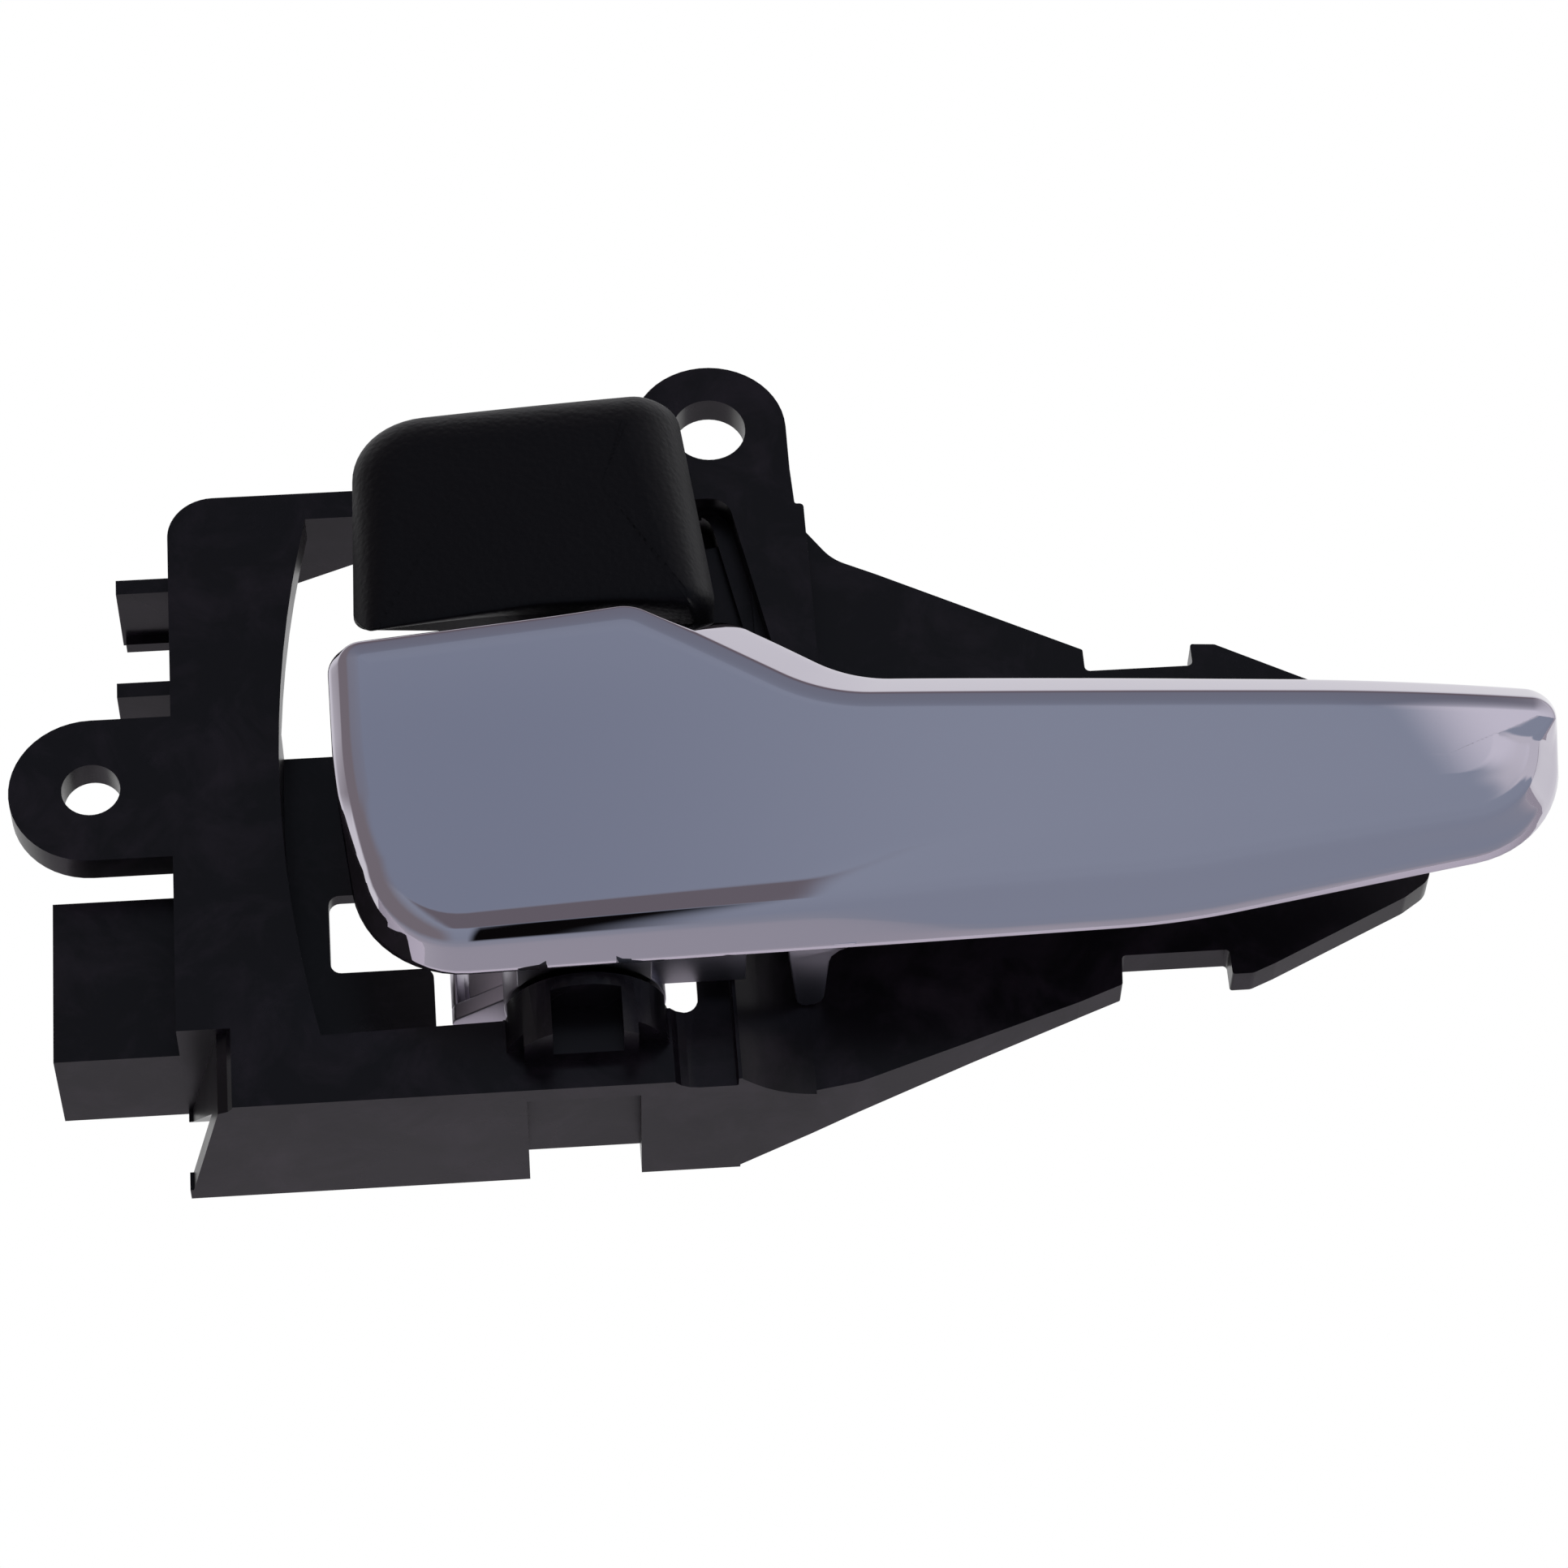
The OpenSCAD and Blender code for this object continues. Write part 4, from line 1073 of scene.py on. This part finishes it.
@dataclass
class KnobCap(Shell):
    """Cap of the lock knob: nearly flat grained face, wide roll at the top and right, open back."""

    name: str = "knob_cap"
    front: float = 16.4
    edge: float = 3.0
    bend: Point2 = (0.0009, 0.0012)
    centre: Point2 = (49.0, 25.0)
    wall: float = 2.4
    rear: Corners = (
        (30, 11.2, 1.5), (30.7, 38.4, 9), (67.2, 42, 4.5), (70.1, 13, 3), (67.6, 11.2, 1), (50, 12.2, 20),
    )  # fmt: skip
    face: Corners = (
        (31.2, 7.7, 1.0), (32.2, 36.2, 7.5), (65, 39.4, 4), (68.6, 11.2, 2.4), (66.8, 10.3, 0.8), (50, 10.1, 20),
    )  # fmt: skip
    bevel: tuple[float, ...] = (0.0, 0.0, 0.0, 0.0, 0.0, 0.0)
    reach: tuple[float, ...] = (0.38, 0.8, 1.1, 0.7, 0.38, 0.3)
    runs: tuple[int, ...] = (16, 20, 16, 3, 10, 12)
    spine: tuple[float, float, float, float] = (42.0, 58.1, 25.1, 26.1)
    roll: tuple[Point2, ...] = (
        (4.2, 0.0), (3.4, 0.02), (2.6, 0.055), (1.9, 0.11), (1.25, 0.2), (0.72, 0.33), (0.32, 0.49), (0.08, 0.7),
        (0.0, 1.0),
    )  # fmt: skip
    smooth_angle: float = 50.0
    # left and right end, with the rim's depth and the roll's depth at each
    ends: Point2 = (30.0, 70.1)
    rim_depths: Point2 = (12.0, 4.5)
    roll_depths: Point2 = (3.0, 5.5)

    def _between(self, x: float, depths: Point2) -> float:
        """Depth at a place along X, from the one at the left end to the one at the right end."""
        return depths[0] + (depths[1] - depths[0]) * (x - self.ends[0]) / (self.ends[1] - self.ends[0])

    def rim(self, x: float) -> float:
        """Depth of the rim ahead of the frame's face: shallow at the left, deep at the right."""
        return self._between(x, self.rim_depths)

    def roll_depth(self, at: Vector) -> float:
        """Depth of the roll, growing to the right."""
        return self._between(at.x, self.roll_depths)

    def lean(self, rear: Vector, face: Vector) -> Vector:
        """The wall leans from the rim's outline to the face's."""
        return face - rear


@dataclass
class ReturnSpring:
    """Return spring: one wire coiled round the pin, its leg in the lower lug, its tail in the housing."""

    pin: Point2 = (53.0, 2.0)
    wire: float = 1.3
    coil_r: float = 4.35
    coil_z: float = -18.3
    pitch: float = 1.65
    coils: float = 5.5
    steps: int = 12
    leg_z: tuple[float, ...] = (-25.6, -22.0, -19.2)
    tail: Point3 = (36.7, 8.45, -9.56)
    sides: int = 16
    resolution: int = 4

    def path(self) -> list[Point3]:
        """Points of the wire's centre line, from the leg round the coils to the tail."""
        x, y = self.pin
        points = [(x, y - self.coil_r, z) for z in self.leg_z]
        for turn in (i / self.steps for i in range(round(self.steps * self.coils) + 1)):
            angle = 2 * pi * turn - pi / 2
            height = self.coil_z + self.pitch * (turn - 0.25)
            points.append((x + self.coil_r * cos(angle), y + self.coil_r * sin(angle), height))
        return [*points, self.tail]

    def tree(self, material: Material) -> NodeTree:
        """Builds the tree that sweeps a round wire along a path.

        Args:
            material: Material of the wire.

        Returns:
            The node tree, with the inputs "Wire Radius", "Sides" and "Resolution".
        """
        tree = bpy.data.node_groups.new("wire_sweep", "GeometryNodeTree")
        inputs = {"Geometry": "Geometry", "Wire Radius": "Float", "Sides": "Int", "Resolution": "Int"}
        for name, kind in inputs.items():
            tree.interface.new_socket(name, in_out="INPUT", socket_type=f"NodeSocket{kind}")
        tree.interface.new_socket("Geometry", in_out="OUTPUT", socket_type="NodeSocketGeometry")
        given = add_node(tree, "NodeGroupInput").outputs
        size = {"Resolution": given["Sides"], "Radius": given["Wire Radius"]}
        section = add_node(tree, "GeometryNodeCurvePrimitiveCircle", size).outputs["Curve"]
        geometry = given["Geometry"]
        for kind, links, settings in (
            ("GeometryNodeMeshToCurve", {}, {}),
            ("GeometryNodeCurveSplineType", {}, {"spline_type": "CATMULL_ROM"}),
            ("GeometryNodeSetSplineResolution", {"Resolution": given["Resolution"]}, {}),
            ("GeometryNodeCurveToMesh", {"Profile Curve": section, "Fill Caps": True}, {}),
            ("GeometryNodeSetShadeSmooth", {}, {}),
            ("GeometryNodeRealizeInstances", {}, {}),
            ("GeometryNodeSetMaterial", {"Material": material}, {}),
        ):
            geometry = add_node(tree, kind, {0: geometry, **links}, **settings).outputs[0]
        add_node(tree, "NodeGroupOutput", {"Geometry": geometry})
        return tree

    def build(self, material: Material) -> Object:
        """Sweeps the wire and returns it as a plain mesh."""
        points = self.path()
        edges = [(i, i + 1) for i in range(len(points) - 1)]
        carrier = mesh_object("return_spring_path", points, [], edges=edges)
        sweep = carrier.modifiers.new("sweep", "NODES")
        sweep.node_group = self.tree(material)
        values = {"Wire Radius": self.wire / 2 * MM, "Sides": self.sides, "Resolution": self.resolution}
        for socket in sweep.node_group.interface.items_tree:
            if socket.in_out == "INPUT" and socket.name in values:
                sweep[socket.identifier] = values[socket.name]
        return evaluated_copy(carrier, "return_spring_wire")


def prism(plan: list[Point2], span: Point2) -> Object:
    """Makes a prism from a plan outline (x, y) between a lower and an upper height."""
    count = len(plan)
    verts = [(x, y, z) for z in span for x, y in plan]
    faces = [list(range(count)), list(range(2 * count - 1, count - 1, -1))]
    faces += [[i, (i + 1) % count, count + (i + 1) % count, count + i] for i in range(count)]
    return mesh_object("prism", verts, faces)


def box(x: Point2, y: Point2, span: Point2) -> Object:
    """Makes a box from its ends along X and Y between two heights."""
    return prism([(x[0], y[0]), (x[1], y[0]), (x[1], y[1]), (x[0], y[1])], span)


def tube(centre: Point2, inner: float, outer: float, span: Point2, count: int = 64) -> Object:
    """Makes an upright tube.

    Args:
        centre: X and Y of its axis.
        inner: Radius of the bore.
        outer: Outer radius.
        span: Lower and upper height.
        count: Segments around.

    Returns:
        The tube as an object.
    """
    rings = [(outer, span[0]), (outer, span[1]), (inner, span[1]), (inner, span[0])]
    turns = [2 * pi * i / count for i in range(count)]
    verts = [(centre[0] + r * cos(a), centre[1] + r * sin(a), z) for r, z in rings for a in turns]
    faces = [[i % len(verts) for i in reversed(quad)] for quad in ring_faces(count, len(rings) + 1)]
    return mesh_object("tube", verts, faces)


def join(first: Object, second: Object) -> Object:
    """Adds the second object's mesh to the first, keeping sharp edges, and removes the second."""
    with edited(first.data) as work:
        work.from_mesh(second.data)
    bpy.data.objects.remove(second)
    return first


def tidy_normals(mesh: Mesh) -> None:
    """Merges doubles and points every face outwards."""
    with edited(mesh) as work:
        bmesh.ops.remove_doubles(work, verts=work.verts, dist=SAME_POINT)
        bmesh.ops.dissolve_degenerate(work, edges=work.edges, dist=NO_LENGTH)
        bmesh.ops.recalc_face_normals(work, faces=work.faces)


@dataclass
class Dresser:
    """Gives carried-over CAD nodes and new pieces their finish."""

    materials: dict[str, Material] = field(default_factory=dict)

    def material(self, finish: Finish) -> Material:
        """Returns the finish's material, built once."""
        if finish.name not in self.materials:
            self.materials[finish.name] = finish.build()
        return self.materials[finish.name]

    def dress(self, obj: Object, finish: Finish) -> None:
        """Puts one finish on a whole object."""
        obj.data.materials.clear()
        obj.data.materials.append(self.material(finish))

    def place(self, obj: Object, finish: Finish, body: Body, slot: Slot, nodes: tuple[str, ...]) -> None:
        """Dresses a new piece and puts it on its body.

        Args:
            obj: The piece.
            finish: Its finish.
            body: The body that it rides on.
            slot: Its material slot in the record; not used.
            nodes: CAD nodes that it replaces.
        """
        self.dress(obj, finish)
        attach(obj, body.value)
        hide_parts(*nodes)
        LOG.info("%s: %d faces on %s", obj.name, len(obj.data.polygons), body.value)


def main() -> None:
    """Builds the scene in order: frame, studio, camera, pieces, finishes."""
    logging.basicConfig(level=logging.INFO, format="%(name)s: %(message)s")
    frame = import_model()
    bpy.context.scene.view_settings.view_transform = "Standard"
    Camera().build()
    Studio().build()
    nodes = frame["nodes"]
    dresser = Dresser()
    dresser.place(Housing().build(nodes["housing"]), HOUSING_NYLON, Body.CASE, Slot.HOUSING, ("housing",))
    carrier = Housing(edge_radius=0.2).build(nodes["lock_carrier"], "lock_carrier_moulding")
    dresser.place(carrier, DARK_ACETAL, Body.KNOB, Slot.CARRIER, ("lock_carrier",))
    for name, finish in (
        ("lower_bush", DARK_ACETAL),
        ("upper_bush", DARK_ACETAL),
        ("pivot_pin", DRAWN_STEEL),
        ("detent_spring", SPRING_WIRE),
    ):
        dresser.dress(nodes[name], finish)
    spring = ReturnSpring().build(dresser.material(SPRING_WIRE))
    dresser.place(spring, SPRING_WIRE, Body.CASE, Slot.SPRING, ("return_spring",))
    dresser.place(LeverShell().build(), CHROMIUM, Body.LEVER, Slot.LEVER, ("lever",))
    dresser.place(KnobCap().build(), KNOB_GRAIN, Body.KNOB, Slot.KNOB, ("lock_knob",))


if __name__ == "__main__":
    main()
